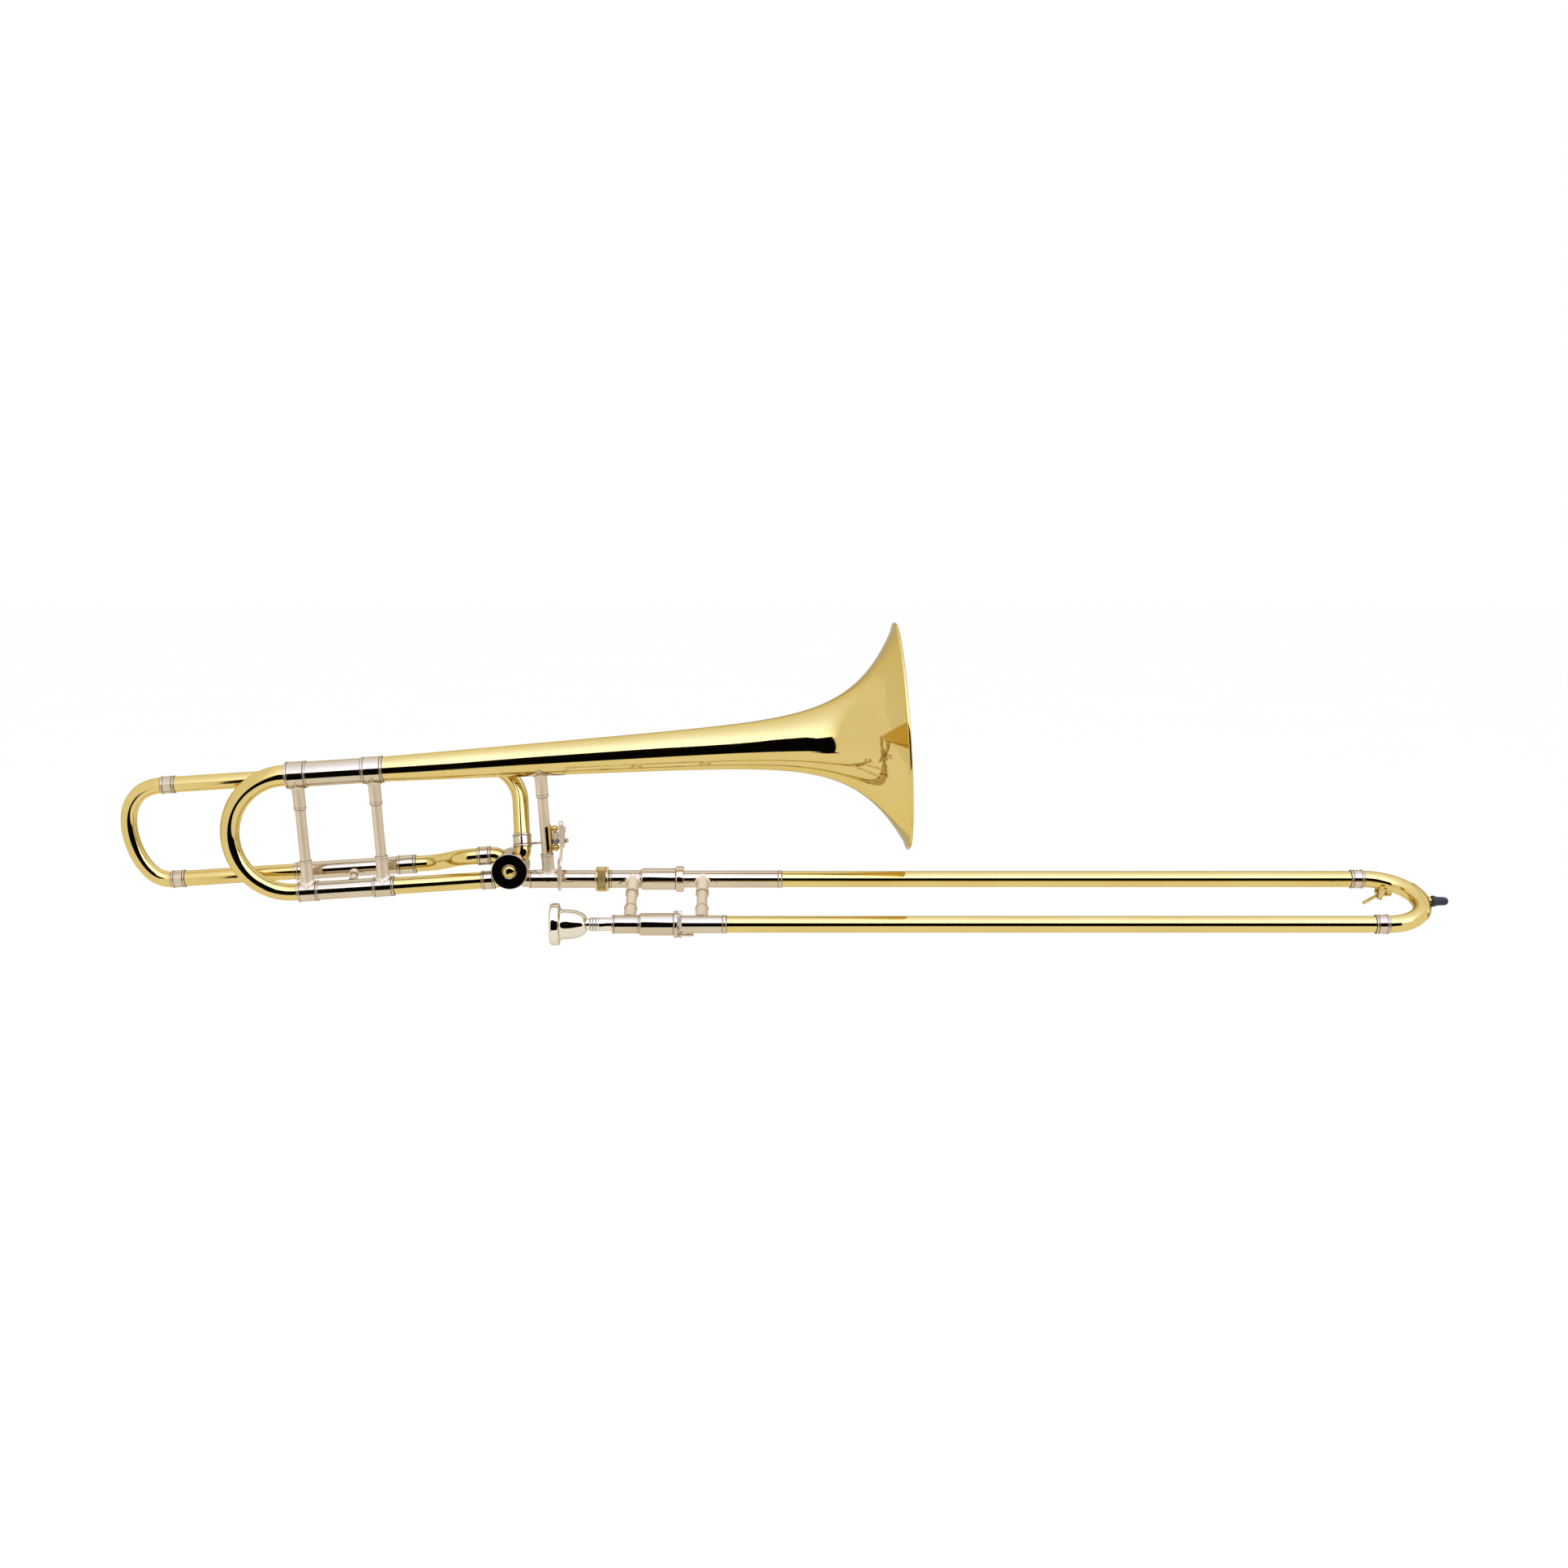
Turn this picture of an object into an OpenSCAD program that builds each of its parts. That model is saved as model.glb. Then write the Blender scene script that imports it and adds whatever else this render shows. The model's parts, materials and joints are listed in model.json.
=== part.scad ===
// Tenor trombone with an open-wrap F attachment, in millimetres.
// The origin is the middle of the lock nut, on the axis that the neckpipe shares with
// the upper slide leg. +X runs to the slide bow, +Y to the player's left, +Z up.
// The bell section has a frame of its own, tilted about Y: u along the bell, w up from
// the lower tuning leg.

/* [Overall] */
// Lock nut to the start of the slide bow
slide_len = 732; // [600:1:900]
// Distance between the two slide legs, centre to centre
leg_gap = 84; // [76:0.5:110]
// Angle of the lower slide leg below the horizontal
slide_droop = 17.1; // [0:0.1:30]
// Rise of the bell section over the slide
bell_tilt = 3.7; // [0:0.1:6]
// Lock nut back to the point where the lower tuning leg meets the slide axis
bell_back = 96.4; // [92:0.1:110]

/* [Bell] */
// Outer diameter of the bell rim
bell_rim_d = 216; // [180:1:260]
// Bell rim in front of the bell frame's origin
bell_front = 390; // [330:1:470]
// Outer diameter where the bell stem starts
bell_stem_d = 23.4; // [22:0.1:23.6]
// Radius that the stem gains per millimetre
bell_taper = 0.0245; // [0.015:0.0005:0.03]
// Length over which the flare dies away
flare_decay = 39; // [30:1:48]
// Seam between the spun flare and the stem, back from the rim
bell_seam = 150; // [120:1:170]
// Thickness of the bell sheet
bell_wall = 0.8; // [0.5:0.05:1]
// Diameter of the rolled rim bead
rim_bead_d = 3.2; // [2:0.1:4.5]

/* [Main tuning slide] */
// Bell axis over the lower tuning leg
tuning_gap = 114.2; // [104:0.2:130]
// Joint between sleeve and fixed tube, behind the origin
tuning_joint = 114; // [108:0.5:124]
// Length of the fixed sleeves
tuning_sleeve_len = 63; // [56:0.5:75]
// Outer diameter of the upper sleeve
upper_sleeve_d = 24; // [23.8:0.1:27]
// Outer diameter of the lower sleeve
lower_sleeve_d = 17.8; // [17.4:0.1:20]
// Wall of the sleeves and inner legs
tuning_wall = 0.5; // [0.4:0.05:0.8]
// Outer diameter of the crook at the bell side
crook_top_d = 20.3; // [18:0.1:21]
// Outer diameter of the crook at the valve side
crook_low_d = 16.2; // [14:0.1:16.4]
// Wall of the crook
crook_wall = 0.6; // [0.4:0.05:1]
// Length of every tuning ferrule
tuning_ferrule_len = 20; // [18:0.5:24]
// Outer diameter of the tube from the lower sleeve to the valve
main_tube_d = 16.2; // [15:0.1:17]

/* [F attachment] */
// Distance of the F tubing behind the bell's plane
f_depth = 28; // [26:0.5:36]
// Height of the upper F leg
f_top = 108; // [100:0.5:116]
// Height of the lower F leg
f_low = 14.5; // [10:0.5:18]
// Outer diameter of the F tubing
f_tube_d = 15.4; // [14:0.1:16]
// Wall of the F tubing
f_wall = 0.5; // [0.4:0.05:0.8]
// Outer diameter of the F sleeves
f_sleeve_d = 16.9; // [16.8:0.1:18]
// Start of the F crook behind the origin
f_crook_start = 325; // [300:1:360]
// Reach of the F crook past its start
f_crook_reach = 37; // [34:0.5:44]
// Radius of the two corners of the F crook
f_corner_r = 30; // [24:0.5:32]
// Open end of the F sleeves behind the origin
f_sleeve_start = 204; // [190:1:230]
// Other end of the F sleeves
f_sleeve_end = 95; // [88:1:110]
// Where the F tube turns down to the valve
f_drop = 22; // [20:0.5:24]
// Radius of that turn
f_drop_r = 38; // [30:0.5:44]

/* [Valve] */
// Valve axis behind the lock nut
valve_back = 87; // [84:0.5:92]
// Valve axis over the slide axis
valve_up = 11.6; // [10.5:0.1:13]
// Outer diameter of the valve casing
casing_d = 33; // [31.5:0.1:42]
// Diameter of the rotor
rotor_d = 28.8; // [27:0.1:29]
// Bore of the two rotor passages
passage_d = 10.8; // [8:0.1:11]
// Half the length of the casing
casing_half = 15; // [14:0.5:18]
// Outer diameter of the knuckles that leave the casing
knuckle_d = 15.8; // [14.5:0.1:15.8]
// Wall of the screw cap round the casing
cap_wall = 0.65; // [0.55:0.05:2.5]

/* [Trigger] */
// Bell brace in front of the bell frame's origin
brace_at = 45.3; // [42:0.1:50]
// Trigger pivot in front of the bell brace
pivot_off = 9.1; // [9:0.1:11]
// Radius of the stop arm's pin
stop_arm_r = 8; // [7.5:0.1:8.5]
// Turn of the rotor
rotor_turn = 90; // [90:1:90]
// Turn of the thumb lever
trigger_turn = 25; // [23:0.5:28]
// Centre of the thumb paddle in front of the pivot
paddle_reach = 24.5; // [24:0.5:30]
// Half width of the thumb paddle
paddle_r = 8.3; // [6:0.1:8.4]
// Curls of the trigger's return spring
trigger_curls = 4; // [2:1:4]

/* [Slide tubes] */
// Outer diameter of the inner slide
inner_tube_d = 14; // [13.6:0.1:17]
// Wall of the slide tubes
slide_wall = 0.4; // [0.3:0.05:0.5]
// Running clearance between a stocking and the outer slide
slide_run = 0.25; // [0.2:0.05:0.4]
// Length of the stocking at the end of an inner tube
stocking_len = 105; // [60:1:140]
// Cork barrel end, where the slide lock ring sits
barrel_end = 78.7; // [70:0.1:90]
// Wall of the cork barrels
barrel_wall = 1.75; // [1.2:0.05:2.4]
// Length of the upper oversleeve past the barrel
upper_oversleeve_len = 94; // [60:1:140]
// Length of the lower oversleeve past the barrel
lower_oversleeve_len = 41; // [36:1:90]
// Hand brace in front of the lock nut
hand_brace_at = 30; // [28:0.5:31]
// Outer slide brace in front of the cork barrels
outer_brace_off = 18; // [17:0.5:24]
// Radius that the bow has over the outer slide
bow_step = 0.25; // [0.05:0.05:0.75]

/* [Mouthpiece] */
// Rim of the mouthpiece behind the lock nut
mouthpiece_back = 43.3; // [40:0.1:50]
// Outer diameter of the rim
rim_d = 39; // [36:0.1:41]
// Inner diameter of the rim
cup_d = 25.5; // [23:0.1:27]
// Depth of the cup
cup_depth = 23; // [18:0.5:26]

/* [Clearances] */
// Gap of a soldered or screwed fit
solder_gap = 0.05; // [0.03:0.01:0.08]
// Radial clearance of the tuning slides
slide_fit = 0.2; // [0.15:0.01:0.25]
// Clearance of what turns
turn_fit = 0.3; // [0.2:0.05:0.4]
// Clearance of the one linkage pivot that stays open
link_play = 1.2; // [1:0.1:1.5]

/* [Hidden] */
$fn = 48;

// Colours of the metals and soft pieces
brass = [0.86, 0.70, 0.36];
dark_brass = [0.72, 0.55, 0.25];
nickel = [0.83, 0.78, 0.70];
silver = [0.88, 0.88, 0.86];
black = [0.06, 0.06, 0.06];
cork = [0.70, 0.52, 0.34];

// Bell section, in its own frame
tuning_open = tuning_joint + tuning_sleeve_len;
crook_r = tuning_gap / 2;
crook_centre = tuning_open + tuning_ferrule_len + 3;
crook_seat = tuning_open + tuning_ferrule_len / 2;
bell_len = bell_front + tuning_joint - solder_gap;
flare = bell_rim_d / 2 - bell_stem_d / 2 - bell_taper * bell_len;
upper_leg_r = upper_sleeve_d / 2 - tuning_wall - slide_fit;
lower_leg_r = lower_sleeve_d / 2 - tuning_wall - slide_fit;
ferrule_wall = 0.75;
upper_ferrule_r = upper_sleeve_d / 2 + ferrule_wall;
lower_ferrule_r = lower_sleeve_d / 2 + ferrule_wall;
tuning_leg_tip = tuning_joint + 12;

// Valve, in the bell frame and in the world
valve_u = (bell_back - valve_back) * cos(bell_tilt) + valve_up * sin(bell_tilt);
valve_w = -(bell_back - valve_back) * sin(bell_tilt) + valve_up * cos(bell_tilt);
knuckle_r = knuckle_d / 2;
knuckle_bore = knuckle_r - 1;
knuckle_bend_r = 11;
f_port_w = valve_w + 13;
f_left_corner = [valve_u - (f_port_w - valve_w), 0, f_port_w];
f_top_corner = [f_drop, 0, valve_w + f_drop - valve_u];
main_left_corner = [valve_u - valve_w, 0, 0];
f_top_turn = [f_drop, f_depth, f_top];
f_lean = (f_top_turn - f_top_corner) / norm(f_top_turn - f_top_corner);
rotor_r = rotor_d / 2;
cavity_r = rotor_r + turn_fit;
casing_r = casing_d / 2;
cap_d = casing_d + 2 * (solder_gap + cap_wall);
cap_r = cap_d / 2;
valve_ferrule_len = 12.5;
main_seat_u = valve_u - casing_r - valve_ferrule_len / 2 - 0.42;
f_left_seat_u = valve_u - casing_r - valve_ferrule_len / 2 - 2.25;
f_top_seat = f_top_corner + f_lean * (casing_r - 3);
neck_knuckle_end = valve_back - casing_r - 6.5;
neck_start = -neck_knuckle_end - 6.4;
neck_ring_len = 1.9;
plate_t = 2.4;
core_half = casing_half - plate_t - turn_fit - solder_gap;
spindle_r = 3;
cap_face = casing_half + 5.6;
button_r = 6;
button_h = 3;

// Stop arm, link and thumb lever
half_throw = stop_arm_r * sin(rotor_turn / 2);
lever_rear_r = half_throw / sin(trigger_turn / 2);
lever_rear_y = lever_rear_r * cos(trigger_turn / 2);
link_y = (lever_rear_r + lever_rear_y) / 2;
pivot_u = brace_at + pivot_off;
link_w = valve_w + 17.5;
link_eye_h = 3;
link_rod_r = 1.2;
arm_back = casing_half + 0.6;
arm_t = 4.4;
stop_pin_r = 1.5;
tongue_half = 2.4;
bumper_r = 2;
bumper_ring_r = 11;
bumper_angle = asin((tongue_half + bumper_r + turn_fit) / bumper_ring_r);
lever_pin_r = 1.2;
lever_t = 2;
pivot_pin_r = 1.2;
ball_r = 3.3;
low_ball_w = valve_w + 16.6;
top_ball_w = low_ball_w + 18.4;
hinge_barrel_r = 2.6;
hinge_low_w = low_ball_w + ball_r + turn_fit;
hinge_top_w = top_ball_w - ball_r - turn_fit;
lever_arm_w = hinge_top_w - 4.6;
trigger_wire_r = 0.3;
trigger_coil_r = hinge_barrel_r + 0.45 + trigger_wire_r;
trigger_pitch = 1.1;

// F tubing
f_r = f_tube_d / 2;
f_sleeve_r = f_sleeve_d / 2;
f_sleeve_bore = f_r + slide_fit;
f_half = (f_top - f_low) / 2;
f_mid = (f_top + f_low) / 2;
f_leg_tip = f_sleeve_end + 8;
f_ferrule_len = 13;
f_end_ferrule_len = 18;
s_bend_r = 27;
s_bend_start = [-f_sleeve_end + 29, f_depth, f_low];
s_bend_stop = [s_bend_start[0] + 30, 0, f_port_w];

// Slide, on the upper leg or the lower leg
inner_r = inner_tube_d / 2;
inner_bore = inner_r - slide_wall;
stocking_r = inner_r + 0.1;
outer_bore = stocking_r + slide_run;
outer_tube_d = 2 * (outer_bore + slide_wall);
outer_r = outer_tube_d / 2;
oversleeve_r = outer_r + solder_gap + slide_wall;
barrel_bore = oversleeve_r + 0.4;
barrel_d = 2 * (barrel_bore + barrel_wall);
barrel_r = barrel_d / 2;
ring_r = barrel_r + 2.15;
tenon_r = inner_r + 1.5;
collar_r = tenon_r + 0.8;
nut_half = 6.2;
nut_r = collar_r + 2.7;
collar_t = 1.9;
barrel_start = 36;
receiver_start = 14;
receiver_end = 38;
receiver_r = inner_r + 1.45;
shank_r = 6.25;
shank_len = 29;
shank_taper = 0.55;
ring_len = 7.7;
ring_start = barrel_end - ring_len;
cork_start = 41;
cork_len = 5;
outer_start = cork_start + cork_len + turn_fit;
bow_joint = slide_len - 5.4;
inner_end = slide_len - 17;
bow_d = outer_tube_d + 2 * bow_step;
bow_r = bow_d / 2;
bow_ferrule_r = bow_r + 0.8;
bow_ferrule_len = 13.5;
guard_t = 0.8;
guard_from = leg_gap / 2 - 1;
bow_tip = slide_len + leg_gap / 2 + bow_r + solder_gap + guard_t;
bumper_tip_start = bow_tip + 2.2;
bumper_stem_r = 3;
bumper_stem_len = 8;
outer_brace_at = barrel_end + outer_brace_off;

// Slide lock: the ring's finger hooks round a stud on the lower oversleeve
finger_len = 10.6;
finger_half = 1.5;
finger_low = barrel_r + 0.35;
finger_t = 1.6;
hook_t = 2.2;
hook_reach = 3;
stud_r = 1.2;
stud_x = barrel_end + 6.6;
stud_angle = asin((finger_half + hook_reach + stud_r + 0.5) / finger_low);

// Water key under the bow
key_angle = 35;
key_x = slide_len + leg_gap / 2 * sin(key_angle);
key_y = leg_gap / 2 * (1 - cos(key_angle));
nib_r = 3.2;
nib_top = bow_r + 2.4;
key_pivot_back = 9;
key_pivot_z = bow_r + 5;
key_pin_r = 1;
key_barrel_r = 2;
key_arm_half = 1.5;
key_tip_back = 22;
key_tip_drop = 9;
key_bar_r = 1.1;
key_wire_r = 0.22;
key_pitch = 0.9;
key_curls = 3;
key_coil_r = key_barrel_r + 0.45 + key_wire_r;
key_coil_start = key_arm_half + 0.7;

// Bends and the straights that lap into them
bend_step = 0.03;
bend_lap = 0.3;

// Braces
stay_r = 5;
socket_r = 5.9;
socket_len = 21;
flange_t = 1;
stay_seat = 2;

function unit(v) = v / norm(v);

// Bell radius and slope at a distance back from the rim
function bell_r(s) = bell_stem_d / 2 + bell_taper * (bell_len - s) + flare * exp(-s / flare_decay);
function bell_slope(s) = bell_taper + flare / flare_decay * exp(-s / flare_decay);

module bell_frame() {
    translate([-bell_back, 0, 0]) rotate([0, -bell_tilt, 0]) children();
}

module bell_axis() {
    bell_frame() translate([0, 0, tuning_gap]) children();
}

// Valve frame: x and y are the bell frame's u and w, z faces the player's right
module valve_frame() {
    bell_frame() translate([valve_u, 0, valve_w]) rotate([90, 0, 0]) children();
}

// Plane of the slide: y runs from the upper leg to the lower leg, z out of its underside
module slide_plane() {
    rotate([180 + slide_droop, 0, 0]) children();
}

module lower_leg() {
    slide_plane() translate([0, leg_gap, 0]) rotate([180, 0, 0]) children();
}

// Points [radius, x] turned about the X axis
module turned(points) {
    rotate([0, 90, 0]) rotate_extrude() polygon(points);
}

module tube(r_out, r_in, x0, x1) {
    turned([[r_in, x0], [r_out, x0], [r_out, x1], [r_in, x1]]);
}

// Joint ring with a raised bead at each end, bored for the tube on each side
module ferrule(r, x0, x1, bore_low, bore_high, seat) {
    bead = 0.35;
    bead_w = 1.4;
    turned([
        [bore_low, x0], [r, x0], [r + bead, x0 + 0.4], [r + bead, x0 + bead_w], [r, x0 + bead_w + 0.4],
        [r, x1 - bead_w - 0.4], [r + bead, x1 - bead_w], [r + bead, x1 - 0.4], [r, x1],
        [bore_high, x1], [bore_high, seat], [bore_low, seat]
    ]);
}

// Frame with its columns along x, y and z, at p
module framed(p, x, y, z) {
    multmatrix([
        [x[0], y[0], z[0], p[0]],
        [x[1], y[1], z[1], p[1]],
        [x[2], y[2], z[2], p[2]],
        [0, 0, 0, 1]
    ]) children();
}

// Moves +Z onto the direction d at p
module along(p, d) {
    z = unit(d);
    x = unit(cross(abs(z[1]) < 0.9 ? [0, 1, 0] : [1, 0, 0], z));
    framed(p, x, cross(z, x), z) children();
}

module rod(a, b, r) {
    along(a, b - a) cylinder(r = r, h = norm(b - a));
}

// Quarter or less of a ring, from direction d1 to d2, starting at p
module elbow(p, d1, d2, bend_r, r) {
    inward = unit(d2 - d1 * (d1 * d2));
    framed(p + inward * bend_r, -inward, d1, cross(d1, inward))
        rotate_extrude(angle = acos(d1 * d2)) translate([bend_r, 0]) circle(r);
}

// Straight runs and true bends along the corner points of a centre line.
// A straight is a hair thinner than its bends and laps into them, so no two faces coincide.
module run(points, bend_r, r, extra = 0) {
    last = len(points) - 1;
    dirs = [for (i = [0:last - 1]) unit(points[i + 1] - points[i])];
    cuts = [for (i = [0:last])
        i == 0 || i == last ? -extra : bend_r * tan(acos(dirs[i - 1] * dirs[i]) / 2)];
    for (i = [0:last - 1])
        rod(points[i] + dirs[i] * (cuts[i] - (i == 0 ? 0 : bend_lap)),
            points[i + 1] - dirs[i] * (cuts[i + 1] - (i == last - 1 ? 0 : bend_lap)), r - bend_step);
    for (i = [1:1:last - 1])
        elbow(points[i] - dirs[i - 1] * cuts[i], dirs[i - 1], dirs[i], bend_r, r);
}

module pipe(points, bend_r, r_out, r_in) {
    difference() {
        run(points, bend_r, r_out);
        run(points, bend_r, r_in, 1);
    }
}

// Round-ended bar between two points of a plane, h thick
module bar(a, b, r, h) {
    side = r * unit([a[1] - b[1], b[0] - a[0]]);
    translate([a[0], a[1], 0]) cylinder(r = r, h = h);
    translate([b[0], b[1], 0]) cylinder(r = r, h = h);
    linear_extrude(height = h) polygon([a + side, a - side, b - side, b + side]);
}

// Pointed flange outline, drawn in towards its tips
function flange_outline(back, front, half) = [
    [-back, 0], [-0.4 * back, half * 0.5], [0, half], [0.4 * front, half * 0.5],
    [front, 0], [0.4 * front, -half * 0.5], [0, -half], [-0.4 * back, -half * 0.5]
];

// Side view of the points that hang down a tube's flanks
function hanging_outline(back, front, tube_r, hang) = [
    [-0.8 * back, tube_r + flange_t + 1], [-0.46 * back, 0.8 * tube_r], [-0.22 * back, 0.35 * tube_r],
    [-0.1 * back, 0.7 - hang], [0, -hang], [0.1 * front, 0.7 - hang], [0.22 * front, 0.35 * tube_r],
    [0.46 * front, 0.8 * tube_r], [0.8 * front, tube_r + flange_t + 1]
];

// Soldered brace foot: a pointed saddle on a tube along X, and the socket for the stay.
// grow is the radius that the tube gains per millimetre, lean its tilt about Y. With hang, two
// more points of the flange reach down the tube's flanks, that far under its axis.
module foot(tube_r, back = 7.4, front = 7.4, grow = 0, lean = 0, stay = stay_r, deep = socket_len, hang = 0) {
    seat_r = tube_r + solder_gap;
    reach = max(back, front) + 5;
    socket = stay + socket_r - stay_r;
    difference() {
        union() {
            intersection() {
                rotate([0, 90 + lean, 0])
                    cylinder(r1 = seat_r + flange_t - grow * reach, r2 = seat_r + flange_t + grow * reach,
                        h = 2 * reach, center = true);
                union() {
                    linear_extrude(height = tube_r + flange_t + 2)
                        polygon(flange_outline(back, front, 0.8 * tube_r));
                    if (hang > 0) rotate([90, 0, 0])
                        linear_extrude(height = 4 * tube_r, center = true)
                            polygon(hanging_outline(back, front, tube_r, hang));
                }
            }
            cylinder(r = socket, h = tube_r + deep);
        }
        rotate([0, 90 + lean, 0])
            cylinder(r1 = seat_r - grow * reach, r2 = seat_r + grow * reach, h = 2 * reach, center = true);
        translate([0, 0, tube_r + stay_seat]) cylinder(r = stay + solder_gap, h = deep);
    }
}

module stay(z0, z1, r) {
    translate([0, 0, z0]) cylinder(r = r, h = z1 - z0);
}

// Two feet and the stay between them, from the tube at z = 0 to the tube at z = span
module brace(span, low_r, top_r, back = 7.4, front = 7.4) {
    foot(low_r, back, front);
    translate([0, 0, span]) mirror([0, 0, 1]) foot(top_r, back, front);
    stay(low_r + stay_seat + solder_gap, span - top_r - stay_seat - solder_gap, stay_r);
}

// Helix points about Z, and the tube of six sides round them
function helix(r, pitch, curls, per_curl) = [
    for (i = [0:curls * per_curl])
        [r * cos(i * 360 / per_curl), r * sin(i * 360 / per_curl), pitch * i / per_curl]
];

module wire(points, r) {
    sides = 6;
    last = len(points) - 1;
    rings = [for (i = [0:last])
        let (
            d = unit(points[min(i + 1, last)] - points[max(i - 1, 0)]),
            x = unit(cross(d, [0, 0, 1])),
            y = cross(d, x)
        )
        for (k = [0:sides - 1]) points[i] + r * (x * cos(k * 60) + y * sin(k * 60))];
    walls = [for (i = [0:last - 1]) for (k = [0:sides - 1])
        let (a = i * sides + k, b = i * sides + (k + 1) % sides)
        each [[a, b, b + sides], [a, b + sides, a + sides]]];
    caps = [for (k = [1:sides - 2]) each [
        [0, k + 1, k],
        [last * sides, last * sides + k, last * sides + k + 1]
    ]];
    polyhedron(points = rings, faces = concat(walls, caps));
}

// Least gap of a wound wire to its own next curl, on its centre points
function least_gap(points, per_curl, r) = min([
    for (i = [0:len(points) - 1]) for (j = [i + per_curl / 2:1:len(points) - 1])
        norm(points[j] - points[i])
]) - 2 * r;

// Bell section pieces
// Sheet of the bell from s0 to s1 back from the rim, with its stations closer towards the rim.
// Its two ends are cut square, so that flare and stem meet face to face.
module bell_sheet(s0, s1, steps) {
    back = [for (i = [0:steps]) s0 + (s1 - s0) * pow(i / steps, 2)];
    function inside(s) = bell_r(s) - bell_wall * sqrt(1 + pow(bell_slope(s), 2));
    turned(concat(
        [for (s = back) [bell_r(s), bell_front - s]],
        [for (i = [steps:-1:0]) [inside(back[i]), bell_front - back[i]]]
    ));
}

module bell_flare() {
    color(brass) bell_axis() {
        bell_sheet(0, bell_seam, 28);
        translate([bell_front, 0, 0]) rotate([0, 90, 0]) rotate_extrude()
            translate([bell_rim_d / 2 - rim_bead_d / 2, 0]) circle(d = rim_bead_d);
    }
}

module bell_stem() {
    color(brass) bell_axis() bell_sheet(bell_seam + solder_gap, bell_len, 16);
}

module fixed_ferrules() {
    half = tuning_ferrule_len / 2;
    color(nickel) {
        bell_axis()
            ferrule(upper_ferrule_r, -tuning_joint - half, -tuning_joint + half,
                upper_sleeve_d / 2 + solder_gap,
                bell_stem_d / 2 + bell_taper * half + solder_gap, -tuning_joint);
        bell_frame()
            ferrule(lower_ferrule_r, -tuning_joint - half, -tuning_joint + half,
                lower_sleeve_d / 2 + solder_gap, main_tube_d / 2 + solder_gap, -tuning_joint);
    }
}

module upper_tuning_sleeve() {
    r = upper_sleeve_d / 2;
    color(nickel) bell_axis() tube(r, r - tuning_wall, -tuning_open, -tuning_joint - solder_gap);
}

module lower_tuning_sleeve() {
    r = lower_sleeve_d / 2;
    color(nickel) bell_frame() tube(r, r - tuning_wall, -tuning_open, -tuning_joint - solder_gap);
}

module fixed_tuning_brace() {
    color(nickel) bell_frame() translate([-tuning_joint, 0, 0])
        brace(tuning_gap, lower_ferrule_r, upper_ferrule_r);
}

module lower_main_tube() {
    r = main_tube_d / 2;
    color(brass) bell_frame() tube(r, r - 0.6, -tuning_joint + solder_gap, main_seat_u - solder_gap);
}

module valve_ferrules() {
    half = valve_ferrule_len / 2;
    r = knuckle_r + 0.9;
    color(nickel) bell_frame() {
        ferrule(r + 0.2, main_seat_u - half, main_seat_u + half,
            main_tube_d / 2 + solder_gap, knuckle_r + solder_gap, main_seat_u);
        translate([0, 0, f_port_w])
            ferrule(r, f_left_seat_u - half, f_left_seat_u + half,
                f_r + solder_gap, knuckle_r + solder_gap, f_left_seat_u);
        along(f_top_seat, f_lean) rotate([0, -90, 0])
            ferrule(r, -half, half, knuckle_r + solder_gap, f_r + solder_gap, 0);
    }
}

// Centre line of a knuckle from inside the casing, round its corner, to its end
function knuckle_line(corner, tip) = [
    [valve_u, 0, valve_w] + 6 * unit(corner - [valve_u, 0, valve_w]), corner, tip
];

module knuckles(r, extra) {
    neck_corner = [-valve_back + valve_up, 0, 0];
    valve_centre = [-valve_back, 0, valve_up];
    bell_frame() {
        run(knuckle_line(main_left_corner, [main_seat_u + solder_gap, 0, 0]), knuckle_bend_r, r, extra);
        run(knuckle_line(f_left_corner, [f_left_seat_u + solder_gap, 0, f_port_w]), knuckle_bend_r, r, extra);
        run(knuckle_line(f_top_corner, f_top_seat - f_lean * solder_gap), knuckle_bend_r, r, extra);
    }
    run([valve_centre + 6 * unit(neck_corner - valve_centre), neck_corner,
        [-neck_knuckle_end - solder_gap, 0, 0]], knuckle_bend_r, r, extra);
}

module valve_casing() {
    color(nickel) difference() {
        union() {
            valve_frame() translate([0, 0, -casing_half]) cylinder(r = casing_r, h = 2 * casing_half);
            knuckles(knuckle_r, 0);
        }
        valve_frame() {
            translate([0, 0, -casing_half + plate_t]) cylinder(r = cavity_r, h = 2 * casing_half);
            translate([0, 0, -casing_half - 1]) cylinder(r = spindle_r + turn_fit, h = plate_t + 2);
        }
        knuckles(knuckle_bore, 1);
    }
}

module front_bearing_plate() {
    color(nickel) valve_frame() translate([0, 0, casing_half - plate_t]) difference() {
        cylinder(r = cavity_r - solder_gap, h = plate_t);
        translate([0, 0, -1]) cylinder(r = spindle_r + turn_fit, h = plate_t + 2);
    }
}

module valve_cap() {
    bore = casing_r + solder_gap;
    skirt = casing_half - 3;
    face_t = 2;
    edge = 1.4;
    color(nickel) valve_frame() rotate_extrude() polygon([
        [0, cap_face], [cap_r - edge, cap_face], [cap_r, cap_face - edge], [cap_r, skirt], [bore, skirt],
        [bore, cap_face - face_t], [0, cap_face - face_t]
    ]);
}

module cap_button() {
    dome_r = (button_r * button_r + button_h * button_h) / (2 * button_h);
    color(brass) valve_frame() translate([0, 0, cap_face + solder_gap]) intersection() {
        cylinder(r = button_r, h = button_h + 1);
        translate([0, 0, button_h - dome_r + 0.6]) sphere(r = dome_r);
    }
}

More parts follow.
